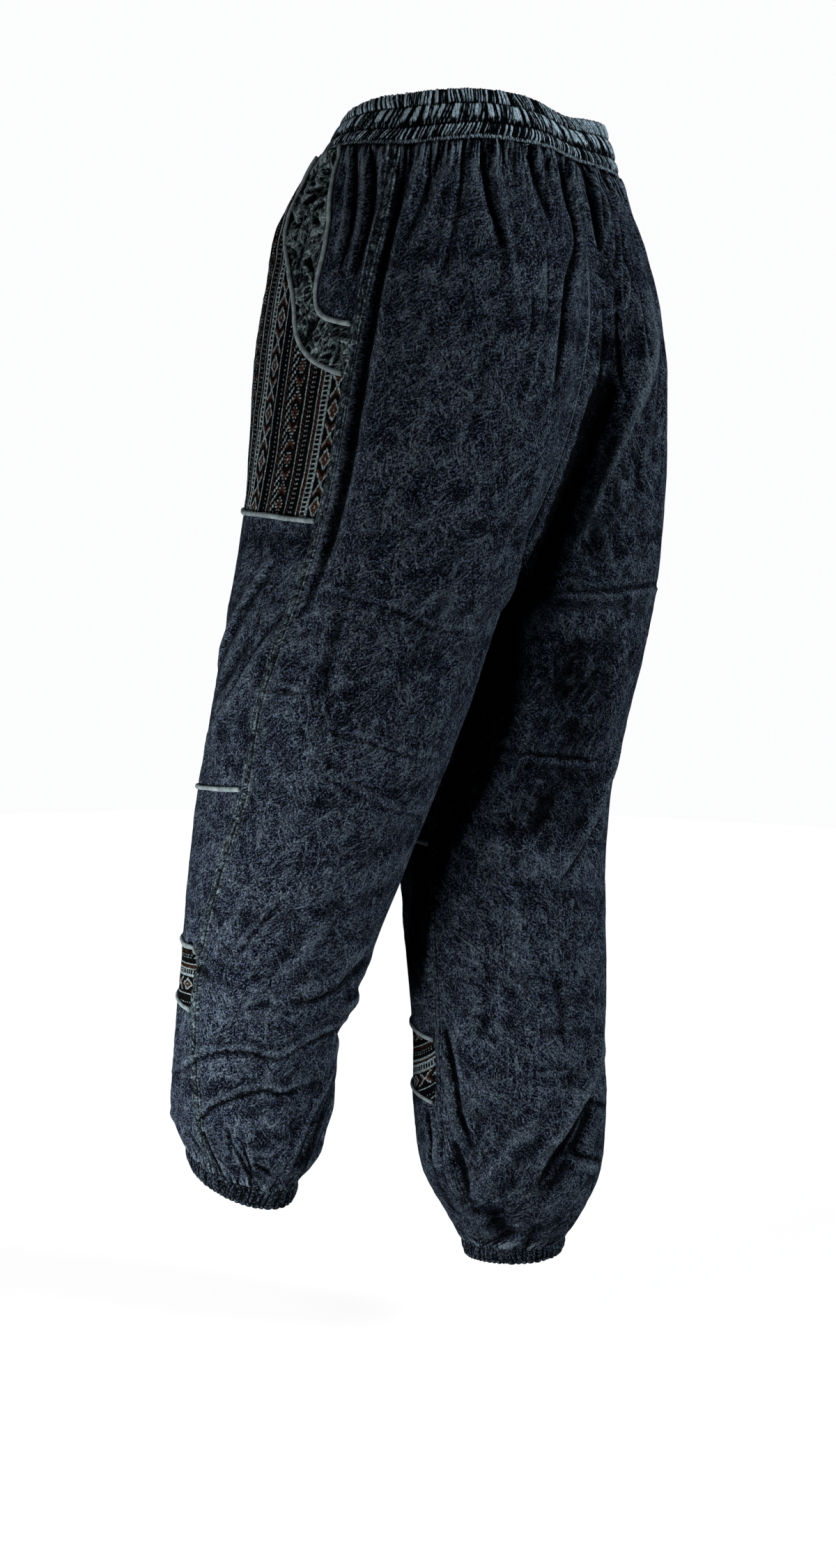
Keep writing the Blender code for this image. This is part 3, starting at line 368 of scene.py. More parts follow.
def rowsAt(table, want):  # smooth rows of a table whose first column falls
    return smoothly(table, -table[:, 0], -want)


def bandLift(lifts, z):
    if z > bandBottom:
        down = (bandTop - z) / (bandTop - bandBottom)
        return lifts[:, 1] * (1 - down) + lifts[:, 2] * down
    return lifts[:, 2] * ease((z - bandLiftEnd) / (bandBottom - bandLiftEnd))


def arc(start, leave, arrive, end, count=160):
    t = np.linspace(0.0, 1.0, count)[:, None]
    start, leave, arrive, end = (np.array(p) for p in (start, leave, arrive, end))
    return (1 - t) ** 3 * start + 3 * t * (1 - t) ** 2 * leave + 3 * t * t * (1 - t) * arrive + t ** 3 * end


def levelRing(cut, forward, z, shares):
    xIn, xOut, full, yFront, yBack = (cut[k] for k in ("xIn", "xOut", "full", "yFront", "yBack"))
    yWide, halfDepth = 0.5 * (yFront + yBack), 0.5 * (yBack - yFront)
    below = ease((crotch - z) / crotchBlend)
    yIn = crotchY * (1 - below) + (yWide - forward) * below
    opened = 0.0
    if z > crotch:
        opened = np.sqrt(1.0 - np.clip((bandTop - z) / (bandTop - crotch), 0.0, 1.0) ** crotchCurve)
    xApex = xIn + cut["apex"] * (xOut - xIn)
    yCf = yIn + (yFront + cut["dipFront"] - yIn) * opened
    yCb = yIn + (yBack - cut["dipBack"] - yIn) * opened
    across = opened ** 1.5
    headX, headY = np.array([across, 1.0 - across]) / np.hypot(across, 1.0 - across)
    reachF = full * (headY * (yCf - yFront) + headX * (xApex - xIn))
    reachB = full * (headY * (yBack - yCb) + headX * (xApex - xIn))
    bendIn, bendOut = full * (xApex - xIn), full * (xOut - xApex)
    quarters = [
        arc((xIn, yCf), (xIn + headX * reachF, yCf - headY * reachF), (xApex - bendIn, yFront), (xApex, yFront)),
        arc((xApex, yFront), (xApex + bendOut, yFront), (xOut, yWide - full * halfDepth), (xOut, yWide))[1:],
        arc((xOut, yWide), (xOut, yWide + full * halfDepth), (xApex + bendOut, yBack), (xApex, yBack))[1:],
        arc((xApex, yBack), (xApex - bendIn, yBack), (xIn + headX * reachB, yCb + headY * reachB), (xIn, yCb))[1:]]
    ring = np.vstack(quarters)
    lengths = lineLengths(ring)
    first, last = len(quarters[0]) - 1, len(ring) - len(quarters[3])
    seam = np.interp(cut["yOut"], ring[first:last, 1], lengths[first:last])
    return resampled(ring, lengths, np.interp(shares, (0.0, 0.5, 1.0), (0.0, seam, lengths[-1])))


tubeSettings = {"rows": 520, "columns": 380}


def makeTube(side):  # one half's smooth form: place, outward way and flat cloth place, over share and height
    table, lean, inseam, lifts = (metres(t[side]) for t in (sections, leans, inseams, bandLifts))
    sign = 1.0 if side == "left" else -1.0
    rows, columns = tubeSettings["rows"], tubeSettings["columns"]
    heights, shares = np.linspace(table[0, 0], table[-1, 0], rows + 1), np.linspace(0.0, 1.0, columns + 1)
    field = np.zeros((rows + 1, columns + 1, 8))
    lifts, cuts = rowsAt(lifts, shares), rowsAt(table, heights)
    for i, z in enumerate(heights):
        cut = dict(zip(sectionColumns, cuts[i]))
        ring = levelRing(cut, np.interp(-z, -inseam[:, 0], inseam[:, 1]), z, shares)
        backShare = (2 * ring[:, 1] - cut["yFront"] - cut["yBack"]) / (cut["yBack"] - cut["yFront"])
        lift = -np.interp(-z, -lean[:, 0], lean[:, 1]) * backShare
        slope = bandSlope * ring[:, 1] * ease((z - bandSlopeEnd) / -bandSlopeEnd)
        field[i, :, :3] = np.stack([ring[:, 0] * sign, ring[:, 1], z + lift + slope + bandLift(lifts, z)], 1)
        along = np.gradient(field[i, :, :2], axis=0)
        field[i, :, 3:5] = unit(np.stack([along[:, 1], -along[:, 0]], 1) * sign)
    lengths = np.cumsum(np.linalg.norm(np.diff(field[..., :3], axis=1), axis=2), axis=1)
    lengths = np.pad(lengths, ((0, 0), (1, 0)))
    field[..., 6] = lengths - lengths[:, columns // 2][:, None]
    field[1:, :, 7] = -np.cumsum(np.linalg.norm(np.diff(field[..., :3], axis=0), axis=2), axis=0)
    return {"side": side, "sign": sign, "heights": heights, "field": field, "girths": lengths[:, -1],
            "cuffTop": seamHeights[side]["cuff"][0]}


def tubeField(tube, share, z):
    field, heights = tube["field"], tube["heights"]
    row = np.clip((z - heights[0]) / (heights[-1] - heights[0]), 0, 1) * (field.shape[0] - 1)
    column = np.clip(share, 0, 1) * (field.shape[1] - 1)
    i, j = np.minimum(row.astype(int), field.shape[0] - 2), np.minimum(column.astype(int), field.shape[1] - 2)
    a, b = (row - i)[..., None], (column - j)[..., None]
    found = ((1 - a) * (1 - b) * field[i, j] + (1 - a) * b * field[i, j + 1]
             + a * (1 - b) * field[i + 1, j] + a * b * field[i + 1, j + 1])
    return found[..., :3], unit(found[..., 3:6]), found[..., 6:8]


def girthAt(tube, z):
    return np.interp(-z, -tube["heights"], tube["girths"])


def nearestOn(path, spots):  # how far each spot is from the path, left of it above 0, and how far along that is
    best, side, along = np.full(len(spots), 1e9), np.zeros(len(spots)), np.zeros(len(spots))
    for k in range(len(path) - 1):
        run = path[k + 1] - path[k]
        held = np.clip((spots - path[k]) @ run / (run @ run), 0.0, 1.0)
        away = spots - path[k] - held[:, None] * run
        squared = (away ** 2).sum(1)
        closer = squared < best
        best = np.where(closer, squared, best)
        side = np.where(closer, run[0] * away[:, 1] - run[1] * away[:, 0], side)
        along = np.where(closer, (k + held) / (len(path) - 1), along)
    return np.sqrt(best) * np.sign(side), along


def creaseShape(kind, away, width):
    if kind.startswith("lap"):
        away = -away if kind == "lapRight" else away
        over = 1.0 / (1.0 + np.exp(-np.clip(away / 0.0011, -30, 30)))
        return over * np.exp(-(away / width) ** 2) - (1 - over) * 0.55 * np.exp(-(away / (0.7 * width)) ** 2)
    if kind == "crease":
        return 0.7 * np.exp(-((away - 2 * width) / (1.8 * width)) ** 2) - np.exp(-(away / width) ** 2)
    # a shade line moves nothing: it paints shade, and painted highlight where its number is negative
    if kind == "shade":
        return ease((1.25 * width - np.abs(away)) / (0.5 * width))
    return np.exp(-(away / width) ** 2) * (1 if kind == "ridge" else -1)


def creaseDepth(tube, share, z, shades=False):  # how far all creases move each place out, or how much painted shade the shade lines lay on it
    flat = np.stack([(share - 0.5) * girthAt(tube, z), z], -1)
    total = np.zeros(share.shape)
    for kind, height, width, *line in creases[tube["side"]]:
        if (kind == "shade") != shades:
            continue
        height, width = height / 1000, width / 1000
        line = metres(line).reshape(-1, 2) * (1, -1)
        line[:, 0] = (line[:, 0] - 0.5) * girthAt(tube, line[:, 1])
        path = smoothLine(line, 5 * len(line))
        reach = 3.5 * width
        near = ((flat > path.min(0) - reach) & (flat < path.max(0) + reach)).all(-1)
        if not near.any():
            continue
        away, along = nearestOn(path, flat[near])
        ends = 0.12 if kind in ("crease", "shade") else 0.30
        starts = 0.08 if line[0, 1] > bandBottom - 0.002 else ends
        total[near] += height * creaseShape(kind, away, width) * ease(along / starts) * ease((1 - along) / ends)
    return total


def softNoise(u, v, seed):  # smooth noise from -1 to 1, one bump to a unit
    lattice = np.random.default_rng(seed).uniform(-1.0, 1.0, (61, 61))
    i, j = np.floor(u).astype(int), np.floor(v).astype(int)
    a, b = ease(u - i), ease(v - j)
    i, j = i % 60, j % 60
    return ((1 - a) * (1 - b) * lattice[i, j] + a * (1 - b) * lattice[i + 1, j]
            + (1 - a) * b * lattice[i, j + 1] + a * b * lattice[i + 1, j + 1])


def puffs(at, spacing, seed):  # rounded puffs between uneven narrow valleys, about -0.6 to 0.6
    steps = np.random.default_rng(seed).uniform(0.45, 1.7, 900) * spacing
    valleys = np.cumsum(steps) - steps.sum() / 2
    k = np.clip(np.searchsorted(valleys, at) - 1, 0, len(valleys) - 2)
    wide = valleys[k + 1] - valleys[k]
    part = np.clip((at - valleys[k]) / wide, 0.0, 1.0)
    return (4 * part * (1 - part)) ** 0.55 * np.sqrt(wide / spacing) - 0.65


gatherSettings = {  # spacing, height, length and seed of each set of gathers
    "waist": [(0.0044, 0.0019, 0.027, 10), (0.0092, 0.0024, 0.046, 11), (0.019, 0.0032, 0.085, 12),
              (0.046, 0.0020, 0.150, 13)],
    "ankle": [(0.0066, 0.0013, 0.016, 21), (0.017, 0.0021, 0.042, 22), (0.040, 0.0016, 0.085, 23)]}


def gatherDepth(tube, share, z):
    seed = 100 if tube["side"] == "right" else 0
    total = np.zeros(z.shape)
    for edge, at, fall in (("waist", bandBottom, bandBottom - z), ("ankle", tube["cuffTop"], z - tube["cuffTop"])):
        along = (share - 0.5) * girthAt(tube, at)
        for spacing, height, length, own in gatherSettings[edge]:
            drift = 0.20 * fall * softNoise(along / 0.05, 0 * z, own + seed)
            uneven = 1.0 + 0.45 * softNoise(along / (1.3 * spacing) + 7, 0 * z, own + seed + 1)
            total += height * puffs(along + drift, spacing, own + seed) * ease(1 - fall / (length * uneven))
    return total


# width, length, height and lean of each size of rumple
crumpleSettings = {"wave": (0.030, 0.150, 0.0009, 0.35), "fold": (0.024, 0.046, 0.0008, -0.28),
                   "crinkle": (0.0095, 0.019, 0.00065, 0.4)}


def crumpleDepth(tube, flat, z):
    seed = 300 if tube["side"] == "right" else 200
    u, v = flat[..., 0], flat[..., 1]
    bend = 0.012 * softNoise(u / 0.06, v / 0.07, seed)
    total = np.zeros(z.shape)
    for k, (across, down, height, lean) in enumerate(crumpleSettings.values()):
        noise = softNoise((u + bend + lean * v) / across, (v + bend) / down, seed + 1 + k)
        other = softNoise((u - bend - 0.4 * v) / across, (v - bend) / down, seed + 11 + k)
        shape = noise if k == 0 else 0.5 * (1 - 2 * np.abs(noise)) + 0.5 * (1 - 2 * np.abs(other))
        total += height * shape * (0.65 + 0.55 * softNoise(u / 0.055, v / 0.075, seed + 21 + k))
    return total


def boxBlur(values, reach):
    for axis in (0, 1):
        padded = np.pad(values, [(reach + 1, reach) if a == axis else (0, 0) for a in (0, 1)], mode="edge")
        sums = np.cumsum(padded, axis=axis)
        top, foot = [slice(None)] * 2, [slice(None)] * 2
        top[axis], foot[axis] = slice(2 * reach + 1, None), slice(0, -2 * reach - 1)
        values = (sums[tuple(top)] - sums[tuple(foot)]) / (2 * reach + 1)
    return values


def ownSide(tube, places, gap):  # keeps each half on its own side of the middle
    places[..., 0] = tube["sign"] * np.maximum(places[..., 0] * tube["sign"], gap)


def onTube(tube, share, z, extra=0.0):  # fine outer places, their outward ways, flat places and depth
    place, out, flat = tubeField(tube, share, z)
    held = 0.4 + 0.6 * ease((bandBottom - z) / 0.012)
    depth = creaseDepth(tube, share, z) * held + gatherDepth(tube, share, z) + crumpleDepth(tube, flat, z)
    depth = depth * ease((np.abs(place[..., 0]) - 0.001) / 0.010) + extra
    place = place + out * depth[..., None]
    ownSide(tube, place, 0.0003)
    return place, out, flat, depth


def makePiece(name, points, faces, material, uv=None, marks=None):
    mesh = bpy.data.meshes.new(name)
    mesh.from_pydata(np.asarray(points).reshape(-1, 3).tolist(), [], [tuple(f) for f in faces])
    if uv is not None:
        corners = np.zeros(len(mesh.loops), int)
        mesh.loops.foreach_get("vertex_index", corners)
        mesh.uv_layers.new(name="flat").data.foreach_set("uv", np.asarray(uv).reshape(-1, 2)[corners].ravel())
    for mark, values in (marks or {}).items():
        mesh.attributes.new(mark, "FLOAT", "POINT").data.foreach_set("value", np.asarray(values, np.float32).ravel())
    mesh.shade_smooth()
    mesh.materials.append(material)
    piece = bpy.data.objects.new(name, mesh)
    bpy.context.scene.collection.objects.link(piece)
    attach(piece, "root")
    return piece


def gridFaces(rows, columns, turned, closed=False):
    i, j = np.meshgrid(np.arange(rows - 1), np.arange(columns if closed else columns - 1), indexing="ij")
    a, b = i * columns + j, i * columns + (j + 1) % columns
    quads = np.stack([a, a + columns, b + columns, b], -1).reshape(-1, 4)
    return quads[:, ::-1] if turned else quads


seamSettings = {"sink": 0.0011, "reach": 0.0026, "skirt": 0.0030, "shadowUnderBand": 0.0020}
gatherFade = {"waist": 0.034, "ankle": 0.016}
# reach in rows, depth that counts as full, paling of crests (wear and painted highlight), darkening of hollows
# (painted shade)
wearAndShadingSettings = {"fine": (2, 0.0004, 0.6, 0.6), "broad": (8, 0.0026, 0.30, 0.42), "broadest": (26, 0.0100, 0.0, 0.14)}


def clothPanel(name, tube, shares, heights, material, extra=0.0):
    place, out, flat, depth = onTube(tube, shares, heights, extra)
    fromEdge = np.full(shares.shape, 1e9)  # how far each place is from the panel's own edge
    for axis in (0, 1):
        steps = np.linalg.norm(np.diff(flat, axis=axis), axis=2)
        start = np.insert(np.cumsum(steps, axis=axis), 0, 0.0, axis=axis)
        fromEdge = np.minimum(fromEdge, np.minimum(start, np.take(start, [-1], axis=axis) - start))
    place = place - out * (seamSettings["sink"] * np.exp(-(fromEdge / seamSettings["reach"]) ** 2))[..., None]
    gather = np.maximum(ease(1 - (bandBottom - heights) / gatherFade["waist"]),
                        ease(1 - (heights - tube["cuffTop"]) / gatherFade["ankle"]))
    palest = 1.0 if np.ndim(extra) else 0.6 + 0.4 * gather
    wear_and_shading = 0.0
    # crests turn pale, partly worn and partly painted highlight; hollows take painted shade
    for size, (reach, scale, rise, sink) in wearAndShadingSettings.items():
        level = (depth - boxBlur(depth, reach)) / scale
        level = np.clip(level, -1, palest) if size == "fine" else np.tanh(level)
        wear_and_shading = wear_and_shading + np.where(level > 0, rise, sink) * level
    # painted shadow under the waistband, then the shade lines' painted shade and painted highlight
    shadowUnderBand = 1.6 * np.exp(-((bandBottom - heights) / seamSettings["shadowUnderBand"]) ** 2)
    wear_and_shading = wear_and_shading - shadowUnderBand - creaseDepth(tube, shares, heights, True)
    place, inward, uv = (np.pad(values, ((1, 1), (1, 1), (0, 0)), mode="edge") for values in (place, out, flat))
    inward = inward * seamSettings["skirt"]
    inward[1:-1, 1:-1] = 0.0
    place = place - inward
    ownSide(tube, place, 0.0002)
    marks = {mark: np.pad(values, 1, mode="edge") for mark, values in
             (("wear_and_shading", wear_and_shading), ("edge", fromEdge), ("gather", gather))}
    faces = gridFaces(shares.shape[0] + 2, shares.shape[1] + 2, tube["sign"] < 0)
    return makePiece(name, place, faces, material, uv, marks)


def frontShare(tube, z, ahead):  # the share that lies a given distance in front of the outseam
    return 0.5 - 0.5 * ahead / np.interp(-z, -tube["heights"], -tube["field"][:, 0, 6])


def evenSteps(start, end, step):
    return np.linspace(start, end, max(int(round(abs(end - start) / step)), 2) + 1)


def coons(top, foot, left, right):  # a grid inside four edges
    down, over = np.linspace(0, 1, len(left))[:, None, None], np.linspace(0, 1, len(top))[None, :, None]
    corners = ((1 - down) * (1 - over) * top[0] + (1 - down) * over * top[-1]
               + down * (1 - over) * foot[0] + down * over * foot[-1])
    return (1 - down) * top[None] + down * foot[None] + (1 - over) * left[:, None] + over * right[:, None] - corners


class Signal:  # a shader node's output that takes plain arithmetic
    def __init__(self, socket):
        self.socket, self.tree = socket, socket.id_data

    def __rsub__(self, first):
        return calc("SUBTRACT", first, self)

    def __abs__(self):
        return calc("ABSOLUTE", self)


for mark, operation in (("add", "ADD"), ("sub", "SUBTRACT"), ("mul", "MULTIPLY"), ("truediv", "DIVIDE"),
                        ("pow", "POWER"), ("mod", "FLOORED_MODULO"), ("lt", "LESS_THAN"),
                        ("gt", "GREATER_THAN"), ("or", "MAXIMUM")):
    setattr(Signal, f"__{mark}__", lambda self, other, operation=operation: calc(operation, self, other))


def plug(value, socket):
    if isinstance(value, Signal):
        value.tree.links.new(value.socket, socket)
    else:
        socket.default_value = value


def addNode(tree, kind, inputs=None, **settings):
    made = tree.nodes.new(kind)
    for name, value in settings.items():
        setattr(made, name, value)
    for name, value in (inputs or {}).items():
        plug(value, made.inputs[name])
    return made


def outOf(tree, kind, inputs=None, output=0, **settings):
    return Signal(addNode(tree, kind, inputs, **settings).outputs[output])


def signals(node):
    return {socket.name: Signal(socket) for socket in node.outputs if socket.name}


def calc(operation, *values, clamp=False):
    tree = next(value.tree for value in values if isinstance(value, Signal))
    return outOf(tree, "ShaderNodeMath", dict(enumerate(values)), operation=operation, use_clamp=clamp)


def between(value, low, high, to=(0.0, 1.0)):
    return outOf(value.tree, "ShaderNodeMapRange", {"Value": value, "From Min": low, "From Max": high,
                                                    "To Min": to[0], "To Max": to[1]},
                 clamp=True, interpolation_type="SMOOTHSTEP")


def blendColors(amount, first, second):
    return outOf(amount.tree, "ShaderNodeMix", {0: amount, 6: first, 7: second}, 2,
                 data_type="RGBA", clamp_factor=True)


def scaled(vector, amount):
    return outOf(vector.tree, "ShaderNodeVectorMath", {0: vector, "Scale": amount}, operation="SCALE")


def noiseAt(vector, stretch, scale, detail=2.0, roughness=0.5, distortion=0.0, turn=0.0, shift=(0, 0, 0)):
    placed = outOf(vector.tree, "ShaderNodeMapping", {"Vector": vector, "Scale": (1 / stretch[0], 1 / stretch[1], 1.0),
                                                      "Rotation": (0, 0, turn), "Location": shift},
                   vector_type="TEXTURE")
    return outOf(vector.tree, "ShaderNodeTexNoise", {"Vector": placed, "Scale": scale, "Detail": detail,
                                                     "Roughness": roughness, "Distortion": distortion})


def anyOf(masks):
    total = masks[0]
    for mask in masks[1:]:
        total = total | mask
    return total


def newGroup(name, inputs, outputs):
    group = bpy.data.node_groups.new(name, "ShaderNodeTree")
    for label, kind, value in inputs:
        socket = group.interface.new_socket(label, in_out="INPUT", socket_type=kind)
        if value is not None:
            socket.default_value = value
    for label, kind in outputs:
        group.interface.new_socket(label, in_out="OUTPUT", socket_type=kind)
    return group, signals(group.nodes.new("NodeGroupInput")), group.nodes.new("NodeGroupOutput").inputs


number, color, vector = "NodeSocketFloat", "NodeSocketColor", "NodeSocketVector"


def makeWornShadedCloth():  # heathered washed cotton: specks, crinkle lines, pale crests (wear and painted highlight), painted shade in hollows
    group, given, out = newGroup("wornShadedCloth", [
        ("Flat", vector, None), ("Wear_and_shading", number, 0.0), ("Edge", number, 1.0), ("Gather", number, 0.0),
        ("Dark", color, None), ("Middle", color, None), ("Light", color, None), ("Flecks", number, 1.0),
        ("Lines", number, 1.0)], [("Color", color), ("Fleck", number), ("Height", number)])
    flat = scaled(given["Flat"], 1000.0)
    grain = between(noiseAt(flat, (1.0, 0.85), 0.66, 1.0, 0.70), 0.465, 0.535)
    pepper = between(noiseAt(flat, (0.9, 1.1), 0.52, 0.0, 0.5, shift=(17, 60, 0)), 0.44, 0.56)
    patch = between(noiseAt(flat, (0.5, 1.4), 0.11, 3.0, 0.65, 0.4, -0.55, (40, 9, 0)), 0.34, 0.68)
    cloud = between(noiseAt(flat, (1.0, 0.6), 0.022, 3.0, 0.6, shift=(90, 50, 0)), 0.32, 0.68)
    hairs = between(noiseAt(flat, (1.0, 0.07), 0.30, 2.0, 0.6, shift=(11, 70, 0)), 0.43, 0.57)
    gathered = given["Gather"] * (hairs * 1.7 - 1.0)
    wear_and_shading = given["Wear_and_shading"] + gathered
    streaks, lines = [], []
    for turn, shift in ((-0.70, 0), (0.05, 31), (-1.15, 67), (0.50, 93)):
        shows = between(noiseAt(flat, (1.0, 1.0), 0.035, 2.0, 0.5, shift=(shift + 5, 80, 0)), 0.42, 0.56)
        streak = between(noiseAt(flat, (0.60, 0.085), 1.0, 2.0, 0.72, 0.3, turn, (shift, 40, 0)), 0.48, 0.58)
        level = noiseAt(flat, (0.110, 0.030), 1.0, 2.0, 0.55, 0.5, turn, (shift, shift, 0))
        streaks.append(streak * (shows * 0.70 + 0.30))
        lines.append(between(abs(level - 0.5), 0.026, 0.006) * shows)
    streaks, lines = anyOf(streaks), anyOf(lines)
    fleck = grain * 0.48 + streaks * (grain * 0.50 + 0.20)
    tone = fleck ** 4.0 * (given["Flecks"] * (pepper * 1.70 + 0.15)) * (patch * 0.14 + cloud * 0.12 + 0.82)
    # pale crests: partly wear, partly painted highlight
    wornAndShaded = (wear_and_shading | 0.0) ** 1.2 * (fleck * 0.80 + 0.20)
    rubbed = between(given["Edge"], 0.0026, 0.0006) * (between(patch, 0.25, 0.75) * (fleck * 0.5))
    pale = calc("ADD", lines * given["Lines"] * (fleck * 0.50 + 0.16),
                wornAndShaded * (given["Gather"] * 1.20 + 0.55) + rubbed, clamp=True)
    base = blendColors(pale, blendColors(tone, given["Dark"], given["Middle"]), given["Light"])
    # painted shade darkens the hollows and the shade lines
    paintedShade = (calc("MINIMUM", wear_and_shading, 0.0) * 0.85 + 1.0) | 0.06
    height = lines * 0.0004 + fleck * 0.0004
    for stretch, turn, tall in (((0.13, 0.06), -0.5, -0.0040), ((0.28, 0.11), 0.15, -0.0022),
                                ((0.45, 0.16), -0.9, -0.0014)):
        height = height + abs(noiseAt(flat, stretch, 1.0, 1.5, 0.5, 0.6, turn) - 0.5) * tall
    plug(scaled(base, paintedShade), out["Color"])
    plug(fleck, out["Fleck"])
    plug(height + gathered * 0.0006, out["Height"])
    return group


# In millimetres across one repeat of the stripes, from edge to edge. A diamond is its middle, half
# width, half height and repeat along the stripe, and whether it is dotted.
chartSettings = {"repeat": 82.5, "thread": 1.15, "pick": 1.3,
                 "diamonds": [(14.5, 6.3, 9.2, 39.0, False), (57.5, 5.2, 8.2, 37.5, True)],
                 "lines": ((4.4, 5.6), (33.4, 35.0), (46.8, 48.2), (74.2, 75.8)),
                 "fineLines": ((22.0, 23.9), (28.4, 30.2)), "rungs": ((22.8, 29.4),),
                 "pairs": ((38.6, 39.8), (41.6, 42.8), (79.0, 80.2)), "checks": ((63.4, 70.4),),
                 "rust": ((30.4, 32.8), (43.6, 46.4), (71.4, 73.6))}


def makeWovenChart():  # the stripes' chart: inputs in millimetres across the stripes and along them
    group, given, out = newGroup("wovenChart", [("Across", number, 0.0), ("Along", number, 0.0)],
                                 [("Thread", number), ("Rust", number), ("Height", number)])

    def snapped(value, step):
        return calc("SNAP", value, step) + step / 2

    def inside(value, low, high):
        return (value > low) * (value < high)

    def stripes(name):
        return anyOf([inside(across, low, high) for low, high in chartSettings[name]])

    def dashes(period, wide):
        return along % period < wide

    thread, pick = chartSettings["thread"], chartSettings["pick"]
    across = snapped(given["Across"], thread) % chartSettings["repeat"]
    along = snapped(given["Along"], pick)
    cell = calc("FLOOR", across / 2.3) + calc("FLOOR", along / 2.6)
    motifs, hearts = [], []
    for middle, half, tall, period, dotted in chartSettings["diamonds"]:
        off = abs(across - middle)
        up = abs(along % period - period / 2)
        ring = off / half + up / tall
        crossing = period / 2 - up
        arm = abs(off - crossing * 0.70)
        column = off < half
        motif = anyOf([inside(ring, 0.70, 1.0), ring < 0.20, (arm < 1.0) * (crossing < 8.6)]) * column
        motifs.append(motif * dashes(2.6, 1.6) if dotted else motif)
        hearts.append(column * anyOf([inside(ring, 0.20, 0.70), inside(crossing - off, 2.2, 6.0)]))
    light = anyOf([stripes("lines"), stripes("fineLines") * dashes(2.6, 2.0), stripes("rungs") * dashes(3.9, 1.4),
                   stripes("pairs") * dashes(3.9, 1.4), stripes("checks") * (cell % 3.0 < 0.5)] + motifs)
    twill = (given["Across"] * 0.9 + given["Along"]) % 1.75
    light = light * ((twill < 1.10) * 0.85 + 0.15)
    specks = (along - across) % 3.9 < 1.6
    ribs = [abs(calc("SINE", given[way] * (math.pi / wide))) * 0.00012
            for way, wide in (("Across", thread), ("Along", pick))]
    plug(light, out["Thread"])
    plug(anyOf(hearts + [stripes("rust") * specks]) * (1.0 - light), out["Rust"])
    plug(light * 0.00035 + (ribs[0] + ribs[1]), out["Height"])
    return group


wornShadedCloth, wovenChart = makeWornShadedCloth(), makeWovenChart()
clothColors = {
    "plain": {"dark": (0.0012, 0.0018, 0.0036), "middle": (0.079, 0.109, 0.180), "light": (0.160, 0.212, 0.265)},
    "strip": {"dark": (0.0020, 0.0030, 0.0045), "middle": (0.052, 0.072, 0.100), "light": (0.250, 0.340, 0.390)},
    "cuff": {"dark": (0.0014, 0.0020, 0.0032), "middle": (0.068, 0.094, 0.138), "light": (0.110, 0.150, 0.185)},
    "band": {"dark": (0.0010, 0.0015, 0.0020), "middle": (0.012, 0.018, 0.022), "light": (0.580, 0.780, 0.920)},
    "facing": {"dark": (0.0010, 0.0014, 0.0018), "middle": (0.022, 0.030, 0.036), "light": (0.320, 0.420, 0.440)},
    "piping": {"dark": (0.100, 0.130, 0.138), "middle": (0.300, 0.375, 0.400), "light": (0.480, 0.560, 0.580)},
    "woven": {"dark": (0.0008, 0.0008, 0.0009), "middle": (0.0045, 0.0042, 0.0045), "light": (0.010, 0.012, 0.013)},
    "threads": {"pale": (0.620, 0.790, 0.830), "dim": (0.130, 0.172, 0.188),
                "rust": (0.092, 0.034, 0.021), "deepRust": (0.013, 0.0048, 0.0032)},
    "stitch": {"dark": (0.003, 0.004, 0.005), "light": (0.020, 0.030, 0.036)}}
clothColors = {kind: {name: (*tone, 1.0) for name, tone in tones.items()} for kind, tones in clothColors.items()}


def startMaterial(name, sheen=0.0, roughness=0.95):
    material = bpy.data.materials.new(name)
    material.use_nodes = True
    shader = material.node_tree.nodes["Principled BSDF"]
    for socket, value in (("Roughness", roughness), ("Specular IOR Level", 0.03), ("Sheen Weight", sheen),
                          ("Sheen Roughness", 0.45), ("Sheen Tint", (0.62, 0.80, 0.90, 1.0)), ("Metallic", 0.0)):
        shader.inputs[socket].default_value = value
    return material, material.node_tree


def finishMaterial(material, color, roughness=None, height=None):
    tree = material.node_tree
    sockets = tree.nodes["Principled BSDF"].inputs
    plug(color, sockets["Base Color"])
    if roughness is not None:
        plug(roughness, sockets["Roughness"])
    if height is not None:
        plug(outOf(tree, "ShaderNodeBump", {"Height": height, "Strength": 1.0, "Distance": 1.0}), sockets["Normal"])
    return material


def flatPlace(tree):
    return outOf(tree, "ShaderNodeUVMap", uv_map="flat")


def markOf(tree, name):
    return outOf(tree, "ShaderNodeAttribute", output="Fac", attribute_name=name)


def wornShadedIn(tree, kind, flecks, lines):
    inputs = {"Flat": flatPlace(tree), "Flecks": flecks, "Lines": lines}
    inputs.update({mark.capitalize(): markOf(tree, mark) for mark in ("wear_and_shading", "edge", "gather")})
    inputs.update({label.capitalize(): clothColors[kind][label] for label in ("dark", "middle", "light")})
    return signals(addNode(tree, "ShaderNodeGroup", inputs, node_tree=wornShadedCloth))


def makeClothMaterial(kind, flecks=1.0, lines=1.0):
    material, tree = startMaterial(kind + "Cloth")
    wornAndShaded = wornShadedIn(tree, kind, flecks, lines)
    return finishMaterial(material, wornAndShaded["Color"], between(wornAndShaded["Fleck"], 0.0, 1.0, (0.97, 0.86)), wornAndShaded["Height"])


def makeBandMaterial():  # pleats pale from wear and painted highlight, between black gaps of painted shade
    material, tree = startMaterial("bandCloth")
    fleck, colors = wornShadedIn(tree, "band", 1.0, 0.0)["Fleck"], clothColors["band"]
    hairs = between(noiseAt(scaled(flatPlace(tree), 1000.0), (1.0, 0.12), 1.10, 1.5, 0.6), 0.38, 0.62)
    level = markOf(tree, "wear_and_shading") + (hairs - 0.5) * 0.9
    # pale crests: wear and painted highlight; the rest stays dark as painted shade
    light = between(level, -0.45, 1.00) * (fleck * 0.55 + 0.45)
    return finishMaterial(material, blendColors(light, colors["dark"], colors["light"]),
                          between(fleck, 0.0, 1.0, (0.97, 0.86)), hairs * 0.0003 + fleck * 0.00012)


